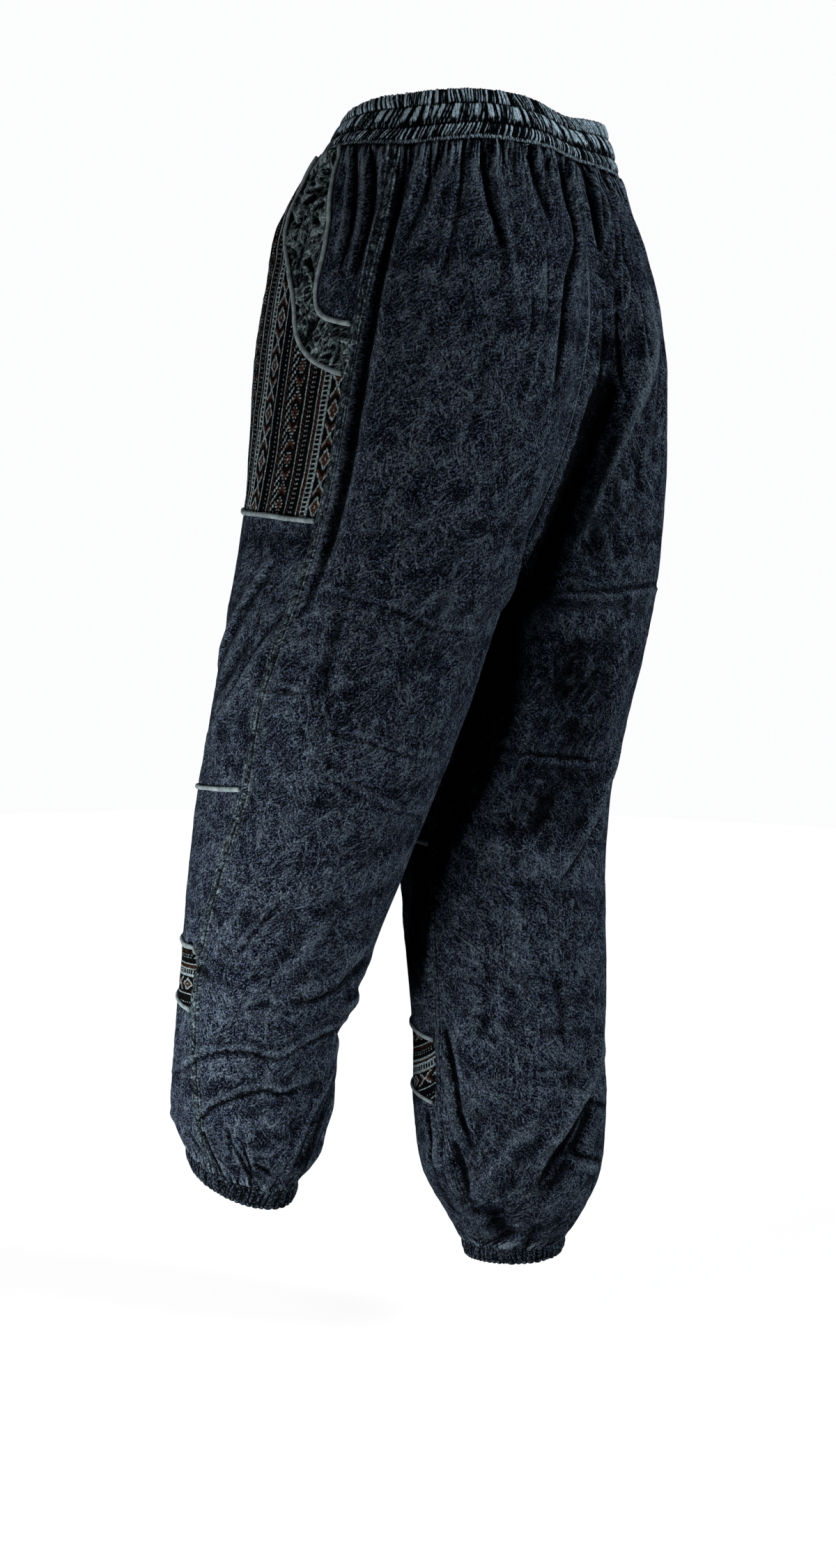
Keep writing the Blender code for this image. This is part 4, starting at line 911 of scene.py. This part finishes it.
def makeWovenMaterial(name, turned, start):  # turned: the stripes run level across the shin
    material, tree = startMaterial(name)
    wornAndShaded, colors = wornShadedIn(tree, "woven", 1.0, 0.6), clothColors["threads"]
    place = signals(addNode(tree, "ShaderNodeSeparateXYZ", {"Vector": flatPlace(tree)}))
    ways = [place["X"] * -1000.0, (place["Y"] - start) * 1000.0]
    across, along = reversed(ways) if turned else ways
    chart = signals(addNode(tree, "ShaderNodeGroup", {"Across": across, "Along": along}, node_tree=wovenChart))
    pale = blendColors(wornAndShaded["Fleck"], colors["dim"], colors["pale"])
    rust = blendColors(wornAndShaded["Fleck"], colors["deepRust"], colors["rust"])
    shown = blendColors(chart["Thread"], blendColors(chart["Rust"], wornAndShaded["Color"], rust), pale)
    return finishMaterial(material, shown, between(wornAndShaded["Fleck"], 0.0, 1.0, (0.97, 0.88)),
                          chart["Height"] + wornAndShaded["Height"])


def makePipingMaterial():  # fine slanting ribs of a bias strip rolled over cord
    material, tree = startMaterial("pipingCloth", 0.08, 0.80)
    colors, flat = clothColors["piping"], flatPlace(tree)
    place = signals(addNode(tree, "ShaderNodeSeparateXYZ", {"Vector": flat}))
    ribs = abs(calc("SINE", (place["X"] + place["Y"]) * (math.pi / 0.0011)))
    flat = scaled(flat, 1000.0)
    uneven = between(noiseAt(flat, (0.5, 1.0), 0.14, 3.0, 0.7), 0.33, 0.66)
    flecks = between(noiseAt(flat, (1.0, 1.0), 0.9, 2.0, 0.7), 0.35, 0.65)
    base = blendColors(ribs * flecks * 0.55, blendColors(uneven, colors["dark"], colors["middle"]), colors["light"])
    return finishMaterial(material, base, between(flecks, 0.0, 1.0, (0.90, 0.74)), ribs * 0.00016)


def makeStitchMaterial():
    material, tree = startMaterial("stitchThread", 0.1, 0.7)
    place = outOf(tree, "ShaderNodeTexCoord", output="Object")
    tone = between(noiseAt(place, (1.0, 1.0), 160.0, 2.0), 0.35, 0.65)
    return finishMaterial(material, blendColors(tone, clothColors["stitch"]["dark"], clothColors["stitch"]["light"]))


mouthEdge, facingEdge = metres(mouthEdge), metres(facingEdge)
pieceSettings = {"clothStep": 0.00195, "backColumns": 196, "frontColumns": 144, "stripWidth": 0.0092,
                 "stripRaise": 0.0015, "stripStep": 0.0015, "stripColumns": 13, "innerStrip": 0.0080,
                 "fineHead": 0.060, "fineFoot": 0.045, "coarser": 1.45, "wovenFoot": 0.105}
puckerSettings = [(0.0062, 0.00085, 0.00315), (0.014, 0.0006, -0.006)]  # spacing, height and slant across a strip


def declare(piece, *nodes):
    if nodes:
        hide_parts(*nodes)
    print(piece.name, "sewn,", len(piece.data.polygons), "faces")


def sewBack(tube, cloths):
    side, step = tube["side"], pieceSettings["clothStep"]
    low, high = tube["cuffTop"] + pieceSettings["fineFoot"], bandBottom - pieceSettings["fineHead"]
    rows = np.r_[evenSteps(bandBottom, high, step)[:-1], evenSteps(high, low, pieceSettings["coarser"] * step),
                 evenSteps(low, tube["cuffTop"], step)[1:]]
    shares, heights = np.meshgrid(np.linspace(0.5, 1.0, pieceSettings["backColumns"]), rows)
    piece = clothPanel(side + "BackCloth", tube, shares, heights, cloths["plain"])
    declare(piece, side + "_back_panel")


def sloping(inner, outer, shares):
    outShare = 1.0 - np.abs(2.0 * shares - 1.0)
    return inner[:, None] * (1 - outShare) + outer[:, None] * outShare


def sewFront(tube, cloths):
    side, seams, step = tube["side"], seamHeights[tube["side"]], pieceSettings["clothStep"]
    over = np.linspace(0.0, 1.0, pieceSettings["frontColumns"])
    hem, foot = smoothLine(facingEdge, 400), facingEdge[-1, 1]
    upper = evenSteps(bandBottom, foot, step)
    edge = np.interp(-upper, -hem[:, 1], hem[:, 0])
    part = evenSteps(0.0, 1.0, step / pieceSettings["wovenFoot"])[1:]
    inner, outer = (np.r_[upper, foot + part * (end - foot)] for end in seams["thigh"])
    shares = np.r_[edge, np.full(len(part), 0.5)][:, None] * over[None]
    piece = clothPanel(side + "WovenCloth", tube, shares, sloping(inner, outer, shares), cloths["woven"])
    declare(piece, side + "_woven_panel")
    for start, end, name, node in (("thigh", "knee", "ThighCloth", "thigh_panel"),
                                   ("knee", "patch", "KneeCloth", "knee_panel"),
                                   ("patch", "lower", "ShinPatch", "shin_patch"),
                                   ("lower", "cuff", "LowerCloth", "lower_panel")):
        tall = abs(seams[end][1] - seams[start][1])
        part = evenSteps(0.0, 1.0, step / tall)
        shares = np.tile(over * 0.5, (len(part), 1))
        heights = sloping(*(seams[start][k] + part * (seams[end][k] - seams[start][k]) for k in (0, 1)), shares)
        patch = node == "shin_patch"
        piece = clothPanel(side + name, tube, shares, heights, cloths["patch" if patch else "plain"])
        declare(piece, f"{side}_{node}")


# rows and columns of the yoke and the facing, the mouth's corner, and width, length and height of the creasing
pocketSettings = {"yoke": (96, 46), "facing": (190, 32), "corner": 6,
                  "crushed": [(0.015, 0.010, 0.0024), (0.0085, 0.006, 0.0010), (0.0036, 0.003, 0.0002)]}


def sewPocket(tube, cloths):
    side, rows, columns, corner = tube["side"], *pocketSettings["yoke"], pocketSettings["corner"]
    mouthSide, mouthFoot = smoothLine(mouthEdge[:corner + 1], rows), smoothLine(mouthEdge[corner:], columns)
    top = np.stack([np.linspace(mouthEdge[0, 0], 0.5, columns), np.full(columns, bandBottom)], 1)
    right = np.stack([np.full(rows, 0.5), np.linspace(bandBottom, mouthEdge[-1, 1], rows)], 1)
    yoke = coons(top, mouthFoot, mouthSide, right)
    piece = clothPanel(side + "PocketYoke", tube, yoke[..., 0], yoke[..., 1], cloths["plain"])
    declare(piece, side + "_pocket_yoke")
    rows, columns = pocketSettings["facing"]
    outer, mouth = smoothLine(facingEdge, rows), smoothLine(mouthEdge, rows)
    over = np.linspace(0.0, 1.0, columns)[None, :, None]
    facing = (1 - over) * outer[:, None] + over * mouth[:, None]
    flat = tubeField(tube, facing[..., 0], facing[..., 1])[2]
    u, v = flat[..., 0], flat[..., 1]
    crushed = 0.0
    bent = 0.006 * softNoise(u / 0.011, v / 0.009, 399)
    for k, (across, down, height) in enumerate(pocketSettings["crushed"]):
        noise = softNoise((u + 0.5 * v + bent) / across, (v - 0.4 * u + bent) / down, 400 + k)
        crushed = crushed + height * (0.7 - 2.0 * np.abs(noise) + 0.8 * noise)
    piece = clothPanel(side + "PocketFacing", tube, facing[..., 0], facing[..., 1], cloths["facing"],
                       crushed)
    declare(piece, side + "_pocket_facing")


def sewStrip(name, tube, start, near, far, cloth, stitchRows):  # a felled seam down to the cuff
    z = evenSteps(start, tube["cuffTop"], pieceSettings["stripStep"])
    over = np.linspace(0.0, 1.0, pieceSettings["stripColumns"])
    if near is None:  # in front of the outseam
        wide = pieceSettings["stripWidth"]
        shares = np.stack([frontShare(tube, z, wide * (1 - o)) for o in over], 1)
    else:
        wide = abs(far - near) * girthAt(tube, z)
        shares = near + (far - near) * np.tile(over, (len(z), 1)) * (pieceSettings["innerStrip"] / wide)[:, None]
        if far < near:
            shares = shares[:, ::-1]
    heights = np.tile(z[:, None], (1, len(over)))
    seed = int(abs(start) * 1000) + (7 if tube["side"] == "left" else 8)
    pucker = sum(puffs(heights + slant * over, spacing, seed + k) * height
                 for k, (spacing, height, slant) in enumerate(puckerSettings))
    grooves = sum(np.exp(-((over - row) / 0.09) ** 2) for row in stitchRows)
    extra = pieceSettings["stripRaise"] + pucker * (1 - 0.6 * grooves) - 0.0006 * grooves
    declare(clothPanel(name, tube, shares, heights, cloth, extra))
    return [stitchPlaces(tube, resampled(shares.T, over, [row])[0], z, resampled(extra.T, over, [row])[0])
            for row in stitchRows]


def stitchPlaces(tube, shares, z, lift, step=0.0034):
    place, out = onTube(tube, shares, z, lift)[:2]
    at = lineLengths(place)
    want = np.arange(step, at[-1] - step, step)
    centre = resampled(place, at, want)
    return np.stack([centre, unit(np.gradient(centre, axis=0)), unit(resampled(out, at, want))], 1)


stitchSettings = {"length": 0.0024, "width": 0.0006, "height": 0.0004}


def makeStitches(name, spots, cloth):  # one stitch is modelled, then copied to every place
    bpy.ops.object.select_all(action="DESELECT")
    bpy.ops.mesh.primitive_uv_sphere_add(segments=6, ring_count=5, radius=0.5, rotation=(0, math.pi / 2, 0))
    first = bpy.context.object
    bpy.ops.object.transform_apply(location=False, rotation=True, scale=True)
    bpy.ops.object.mode_set(mode="EDIT")
    bpy.ops.mesh.select_all(action="SELECT")
    bpy.ops.transform.resize(value=(stitchSettings["length"], stitchSettings["width"], stitchSettings["height"]))
    bpy.ops.object.mode_set(mode="OBJECT")
    shape = np.array([v.co for v in first.data.vertices])
    faces = [list(p.vertices) for p in first.data.polygons]
    bpy.data.objects.remove(first, do_unlink=True)
    spots = np.concatenate(spots)
    centre, ahead, out = spots[:, 0], spots[:, 1], spots[:, 2]
    aside = np.cross(out, ahead)
    points = (centre[:, None] + shape[None, :, :1] * ahead[:, None] + shape[None, :, 1:2] * aside[:, None]
              + shape[None, :, 2:] * out[:, None])
    every = [[v + k * len(shape) for v in face] for k in range(len(spots)) for face in faces]
    makePiece(name, points, every, cloth)


pipingSettings = {"sides": 10, "halfWidth": 0.00215, "halfHeight": 0.0017, "lift": 0.0008, "step": 0.0022,
                  "count": 260, "startShare": 0.004, "gap": 0.001}


def layPiping(name, tube, shares, heights, cloth, node):
    place, out = onTube(tube, shares, heights)[:2]
    at = lineLengths(place)
    want = np.linspace(0, at[-1], int(at[-1] / pipingSettings["step"]) + 2)
    place = resampled(place, at, want)
    kernel = np.array([1, 2, 3, 2, 1]) / 9.0
    for k in range(3):
        place[:, k] = np.convolve(np.pad(place[:, k], 2, mode="reflect", reflect_type="odd"), kernel, "valid")
    ahead = unit(np.gradient(place, axis=0))
    aside = unit(np.cross(unit(resampled(out, at, want)), ahead))
    up = np.cross(ahead, aside)
    seed = sum(map(ord, name))
    uneven = 1 + 0.10 * softNoise(want / 0.012, 0 * want, seed)
    wander = 0.0005 * softNoise(want / 0.020, 0 * want, seed + 1)
    centre = place + up * pipingSettings["lift"] + aside * wander[:, None]
    sides = pipingSettings["sides"]
    turn = 2 * np.pi * np.arange(sides + 1) / sides
    wide, tall = pipingSettings["halfWidth"], pipingSettings["halfHeight"]
    ring = (centre[:, None] + (uneven[:, None] * wide * np.cos(turn))[..., None] * aside[:, None]
            + (uneven[:, None] * tall * np.sin(turn))[..., None] * up[:, None])
    uv = np.stack(np.broadcast_arrays(turn * wide, want[:, None]), -1)
    faces = gridFaces(len(want), sides + 1, False)
    piece = makePiece(name, ring, faces, cloth, uv)
    closeTube(piece, sides)
    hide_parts(node)


def closeTube(piece, sides):  # weld the tube's lengthwise join, fill both ends and turn its faces out
    bpy.ops.object.select_all(action="DESELECT")
    piece.select_set(True)
    bpy.context.view_layer.objects.active = piece
    bpy.ops.object.mode_set(mode="EDIT")
    bpy.ops.mesh.select_all(action="SELECT")
    bpy.ops.mesh.remove_doubles(threshold=1e-6)
    bpy.ops.mesh.select_all(action="DESELECT")
    bpy.ops.mesh.select_non_manifold()
    bpy.ops.mesh.fill_holes(sides=sides + 2)
    bpy.ops.mesh.select_all(action="SELECT")
    bpy.ops.mesh.normals_make_consistent(inside=False)
    bpy.ops.object.mode_set(mode="OBJECT")
    bpy.ops.object.select_all(action="DESELECT")


def layAllPipings(tube, cloth):
    side, seams, strip = tube["side"], seamHeights[tube["side"]], pieceSettings["stripWidth"]
    for name, node, edge in (("MouthPiping", "mouth_piping", mouthEdge),
                             ("FacingPiping", "facing_piping", facingEdge)):
        line = smoothLine(edge, pipingSettings["count"])
        line = line[line[:, 0] < frontShare(tube, line[:, 1], pipingSettings["halfWidth"] + strip)]
        layPiping(side + name, tube, line[2:, 0], line[2:, 1], cloth, f"{side}_{node}")
    for seam, name, node in (("thigh", "WovenPiping", "woven_edge_piping"), ("knee", "KneePiping", "knee_piping"),
                             ("patch", "PatchTopPiping", "patch_top_piping"),
                             ("lower", "PatchFootPiping", "patch_foot_piping")):
        last = frontShare(tube, np.array(seams[seam][1]), strip + pipingSettings["gap"])
        shares = np.linspace(pipingSettings["startShare"], float(last), pipingSettings["count"])
        heights = seams[seam][0] * (1 - 2 * shares) + seams[seam][1] * 2 * shares
        layPiping(side + name, tube, shares, heights, cloth, f"{side}_{node}")


def evenRing(place, out, columns):
    both = np.concatenate([place, out], -1)
    both = np.concatenate([both, both[:1]])
    at = lineLengths(both[:, :3])
    both = resampled(both, at, np.arange(columns) / columns * at[-1])
    return both[:, :3], unit(both[:, 3:])


# A channel's numbers after its edges: bulge; spacing and height of the puffs and of the fine pleats;
# how pale the puffs are and where they fade; where a pleat turns pale, worn and painted highlight; leans at the sides.
channelColumns = ("top", "foot", "bulge", "puff", "puffHeight", "pleat", "pleatHeight", "patchy", "fade", "turns",
                  "leanLeft", "leanRight", "seed")
bandSettings = {"columns": 1560, "rows": 47, "around": 700, "inner": 0.0014, "length": 0.76, "scallop": 0.0006,
                "edges": (0.0220, 0.0092, -0.0090, -0.0200, -0.0243), "seed": 51, "channels": [
                    (0.0018, 0.0060, 0.0006, 0.0023, 0.0012, 0.0, 9.0, -0.02, 0.15, 0.45),
                    (0.0025, 0.0056, 0.0014, 0.0021, 0.0008, 1.0, 0.62, 0.12, -0.35, 0.25),
                    (0.0018, 0.0060, 0.0005, 0.0019, 0.0011, 0.0, 9.0, 0.08, -0.40, 0.05),
                    (0.0011, 0.0070, 0.0004, 0.0036, 0.0006, 1.0, -1.0, -0.45, 0.20, 0.10)]}
cuffSettings = {"columns": 560, "rows": 20, "inner": 0.0014, "length": 0.32, "scallop": 0.0013,
                "left": {"edges": (-0.9040, -0.9075, -0.9190, -0.9220), "seed": 61},
                "right": {"edges": (-0.9850, -0.9880, -0.9980, -1.0010), "seed": 64}, "channels": [
                    (0.0006, 0.0060, 0.0004, 0.0040, 0.0007, 0.0, 9.0, -0.10, 0.1, 0.1),
                    (0.0015, 0.0058, 0.0010, 0.0034, 0.0011, 0.5, 0.8, 0.05, 0.1, -0.1),
                    (0.0005, 0.0060, 0.0004, 0.0038, 0.0007, 0.0, 9.0, -0.10, 0.1, 0.1)]}


def gatheredRing(name, ringAt, settings, cloth, node):
    columns, rows, edges = settings["columns"], settings["rows"], settings["edges"]
    part = np.arange(columns) / columns
    at = part * settings["length"]
    heights = np.linspace(edges[0], edges[-1], rows)
    layers = []  # each row's places, flat places, and wear with painted highlight and painted shade
    for z in heights:
        place, out = ringAt(z, columns)
        k = max(k for k in range(len(edges) - 1) if edges[k] >= z - 1e-9)
        row = dict(zip(channelColumns, (edges[k], edges[k + 1], *settings["channels"][k], settings["seed"] + k)))
        down = (row["top"] - z) / (row["top"] - row["foot"])
        arch = max(0.0, 1 - (2 * down - 1) ** 2) ** 0.5
        lean = row["leanLeft"] + (row["leanRight"] - row["leanLeft"]) * ease((part - 0.33) / 0.17)
        lean = lean + 0.30 * softNoise(at / 0.014, 0 * at, row["seed"] + 5)
        leaning = at + lean * (z - row["top"])
        puff, pleat = puffs(leaning, row["puff"], row["seed"]), puffs(leaning, row["pleat"], row["seed"] + 1)
        patch = ease((puff - 0.18) / 0.22) * row["patchy"]
        stays = 1 - ease((down - row["fade"] + 0.16 * pleat) / 0.30)
        # pale pleat crests: partly wear, partly painted highlight
        light = np.maximum(patch * stays * (0.80 + 0.35 * pleat), (1 - 0.6 * patch * stays) * ease(
            (pleat - row["turns"]) / 0.42) * (0.85 - 0.30 * row["patchy"]))
        relief = row["puffHeight"] * puff + row["pleatHeight"] * pleat * (1 - 0.8 * patch * stays)
        place = place + out * (row["bulge"] * arch + relief * (0.25 + 0.75 * arch ** 0.7))[:, None]
        if row["top"] == edges[0]:
            place[:, 2] += 0.9 * relief * max(0.0, 1 - 3 * down)
        if row["foot"] == edges[-1]:
            place[:, 2] -= settings["scallop"] * puffs(at, 0.0052, row["seed"] + 2) * max(0.0, 2 * down - 1)
        # painted shade darkens the grooves at each channel's edges
        shown = min(1.0, 1.6 * arch)
        layers.append((place, np.stack([at, np.full(columns, z)], 1), (2.2 * light - 1.1) * shown - 1.1 * (1 - shown)))
    for z in (*heights[::-6], heights[0]):
        place, out = ringAt(z, columns)
        layers.append((place - out * settings["inner"], np.stack([at, np.full(columns, 2 * heights[-1] - z)], 1),
                       np.full(columns, -0.3)))
    places, flats, wear_and_shading = (np.array(values) for values in zip(*layers))
    faces = gridFaces(len(layers) + 1, columns, False, True) % wear_and_shading.size
    piece = makePiece(name, places, faces, cloth, flats, {"wear_and_shading": wear_and_shading, "edge": np.ones(wear_and_shading.shape)})
    declare(piece, node)


def makeBands(tubes, cloths):
    shares = np.linspace(0.0, 1.0, bandSettings["around"])

    def waistRing(z, columns):
        left, right = (tubeField(tubes[side], shares, np.full(len(shares), z)) for side in ("left", "right"))
        return evenRing(np.concatenate([left[0], right[0][::-1]]), np.concatenate([left[1], right[1][::-1]]), columns)

    gatheredRing("waistBand", waistRing, bandSettings, cloths["band"], "waistband")
    for side, tube in tubes.items():
        def ankleRing(z, columns):
            place, out = tubeField(tube, shares[:-1], np.full(len(shares) - 1, z))[:2]
            order = slice(None) if side == "left" else slice(None, None, -1)
            return evenRing(place[order], out[order], columns)

        gatheredRing(side + "Cuff", ankleRing, {**cuffSettings, **cuffSettings[side]}, cloths["cuff"],
                     side + "_ankle_cuff")


tubes = {side: makeTube(side) for side in ("left", "right")}
print("smooth forms made")


def flatDepth(side, z):  # how far down the flat cloth a height lies, just in front of the outseam
    return float(tubeField(tubes[side], np.array(0.45), np.array(z))[2][1])


cloths = {"plain": makeClothMaterial("plain"), "band": makeBandMaterial(), "strip": makeClothMaterial("strip"),
          "facing": makeClothMaterial("facing", 1.0, 1.6), "piping": makePipingMaterial(),
          "stitch": makeStitchMaterial(), "cuff": makeClothMaterial("cuff", 1.0, 0.4)}
for side in tubes:
    wovenStart, patchStart = flatDepth("left", -0.225) + 0.0195, flatDepth(side, seamHeights[side]["patch"][1]) - 0.050
    cloths[side] = {**cloths, "woven": makeWovenMaterial(side + "WovenCloth", False, wovenStart),
                    "patch": makeWovenMaterial(side + "PatchCloth", True, patchStart)}
print("materials made")
for side, tube in tubes.items():
    sewBack(tube, cloths[side])
    sewFront(tube, cloths[side])
    sewPocket(tube, cloths[side])
    spots = sewStrip(side + "OutseamStrip", tube, bandBottom, None, None, cloths["strip"], (0.2, 0.8))
    spots += sewStrip(side + "InseamStrip", tube, crotch - 0.030, 1.0, 0.97, cloths["plain"], (0.25, 0.75))
    makeStitches(side + "Stitches", spots, cloths["stitch"])
    layAllPipings(tube, cloths["piping"])
    print(side, "half sewn")
makeBands(tubes, cloths)
print("waistband and cuffs gathered")

stageSettings = {"floorHeight": -1.082, "floorRadius": 3.2, "floorTone": (0.16, 0.16, 0.16, 1.0), "glow": 0.92,
                 "backdrop": (0.975, 0.978, 0.985, 1.0), "ambient": (0.85, 0.92, 1.0, 1.0), "ambientStrength": 0.006}
bpy.ops.object.select_all(action="DESELECT")
bpy.ops.mesh.primitive_circle_add(vertices=96, radius=stageSettings["floorRadius"], fill_type="NGON",
                                  location=(0, 0, stageSettings["floorHeight"]))
floor = bpy.context.object
floor.name = "floor"
floorMaterial = bpy.data.materials.new("paleFloor")
floorMaterial.use_nodes = True
tree = floorMaterial.node_tree
seen = outOf(tree, "ShaderNodeLightPath", output="Is Camera Ray")
for socket, value in (("Base Color", stageSettings["floorTone"]), ("Roughness", 0.9),
                      ("Emission Color", (1.0, 1.0, 1.0, 1.0)), ("Emission Strength", seen * stageSettings["glow"])):
    plug(value, tree.nodes["Principled BSDF"].inputs[socket])
floor.data.materials.append(floorMaterial)

world = bpy.data.worlds.new("studio")
bpy.context.scene.world = world
world.use_nodes = True
tree = world.node_tree
tree.nodes.clear()
lit, shown = (outOf(tree, "ShaderNodeBackground", {"Color": stageSettings[name], "Strength": strength})
              for name, strength in (("ambient", stageSettings["ambientStrength"]), ("backdrop", 1.0)))
seen = outOf(tree, "ShaderNodeLightPath", output="Is Camera Ray")
addNode(tree, "ShaderNodeOutputWorld", {"Surface": outOf(tree, "ShaderNodeMixShader", {0: seen, 1: lit, 2: shown})})

viewWay = Vector((-0.766, -0.643, 0.0))
viewRight = Vector((-0.643, 0.766, 0.0))
# kind; towards the camera, left and up (a way for a sun, a place for a panel); strength; angle or size; colour
lightSettings = {
    "key": ("SUN", 0.45, 0.55, 0.75, 0.60, math.radians(18), (1.0, 0.98, 0.95)),
    "low": ("AREA", 0.45, 0.65, -1.0, 10.5, 0.4, (1.0, 1.0, 1.0)),
    "across": ("SUN", 0.22, -0.97, 0.50, 2.6, math.radians(12), (0.95, 0.98, 1.0))}
for name, (kind, near, left, up, strength, size, tint) in lightSettings.items():
    lamp = bpy.data.lights.new(name, kind)
    lamp.energy, lamp.color = strength, tint
    item = bpy.data.objects.new(name, lamp)
    toLight = -viewWay * near - viewRight * left + Vector((0, 0, up))
    if kind == "SUN":
        lamp.angle = size
    else:
        lamp.shape, lamp.size = "SQUARE", size
        item.location = toLight
        toLight = toLight - Vector((0, 0, up + 0.25))
    item.rotation_euler = toLight.to_track_quat("Z", "Y").to_euler()
    bpy.context.scene.collection.objects.link(item)

cameraSettings = {"place": (1.4078, 1.1382, -0.277), "turns": ((130.0, "Z"), (81.6, "X"), (1.1, "Z")),
                  "lens": 47.4, "sensor": 36.0, "clip": (0.05, 60.0)}
camera = bpy.data.objects.new("camera", bpy.data.cameras.new("camera"))
camera.data.sensor_fit, camera.data.lens = "AUTO", cameraSettings["lens"]
camera.data.sensor_height = camera.data.sensor_width = cameraSettings["sensor"]
camera.data.clip_start, camera.data.clip_end = cameraSettings["clip"]
camera.location = cameraSettings["place"]
turned = Matrix.Identity(4)
for angle, axis in cameraSettings["turns"]:
    turned = turned @ Matrix.Rotation(math.radians(angle), 4, axis)
camera.rotation_euler = turned.to_euler()
bpy.context.scene.collection.objects.link(camera)
bpy.context.scene.camera = camera
bpy.context.scene.view_settings.view_transform = "Standard"
bpy.context.scene.view_settings.look = "None"
print("stage, light and camera set")
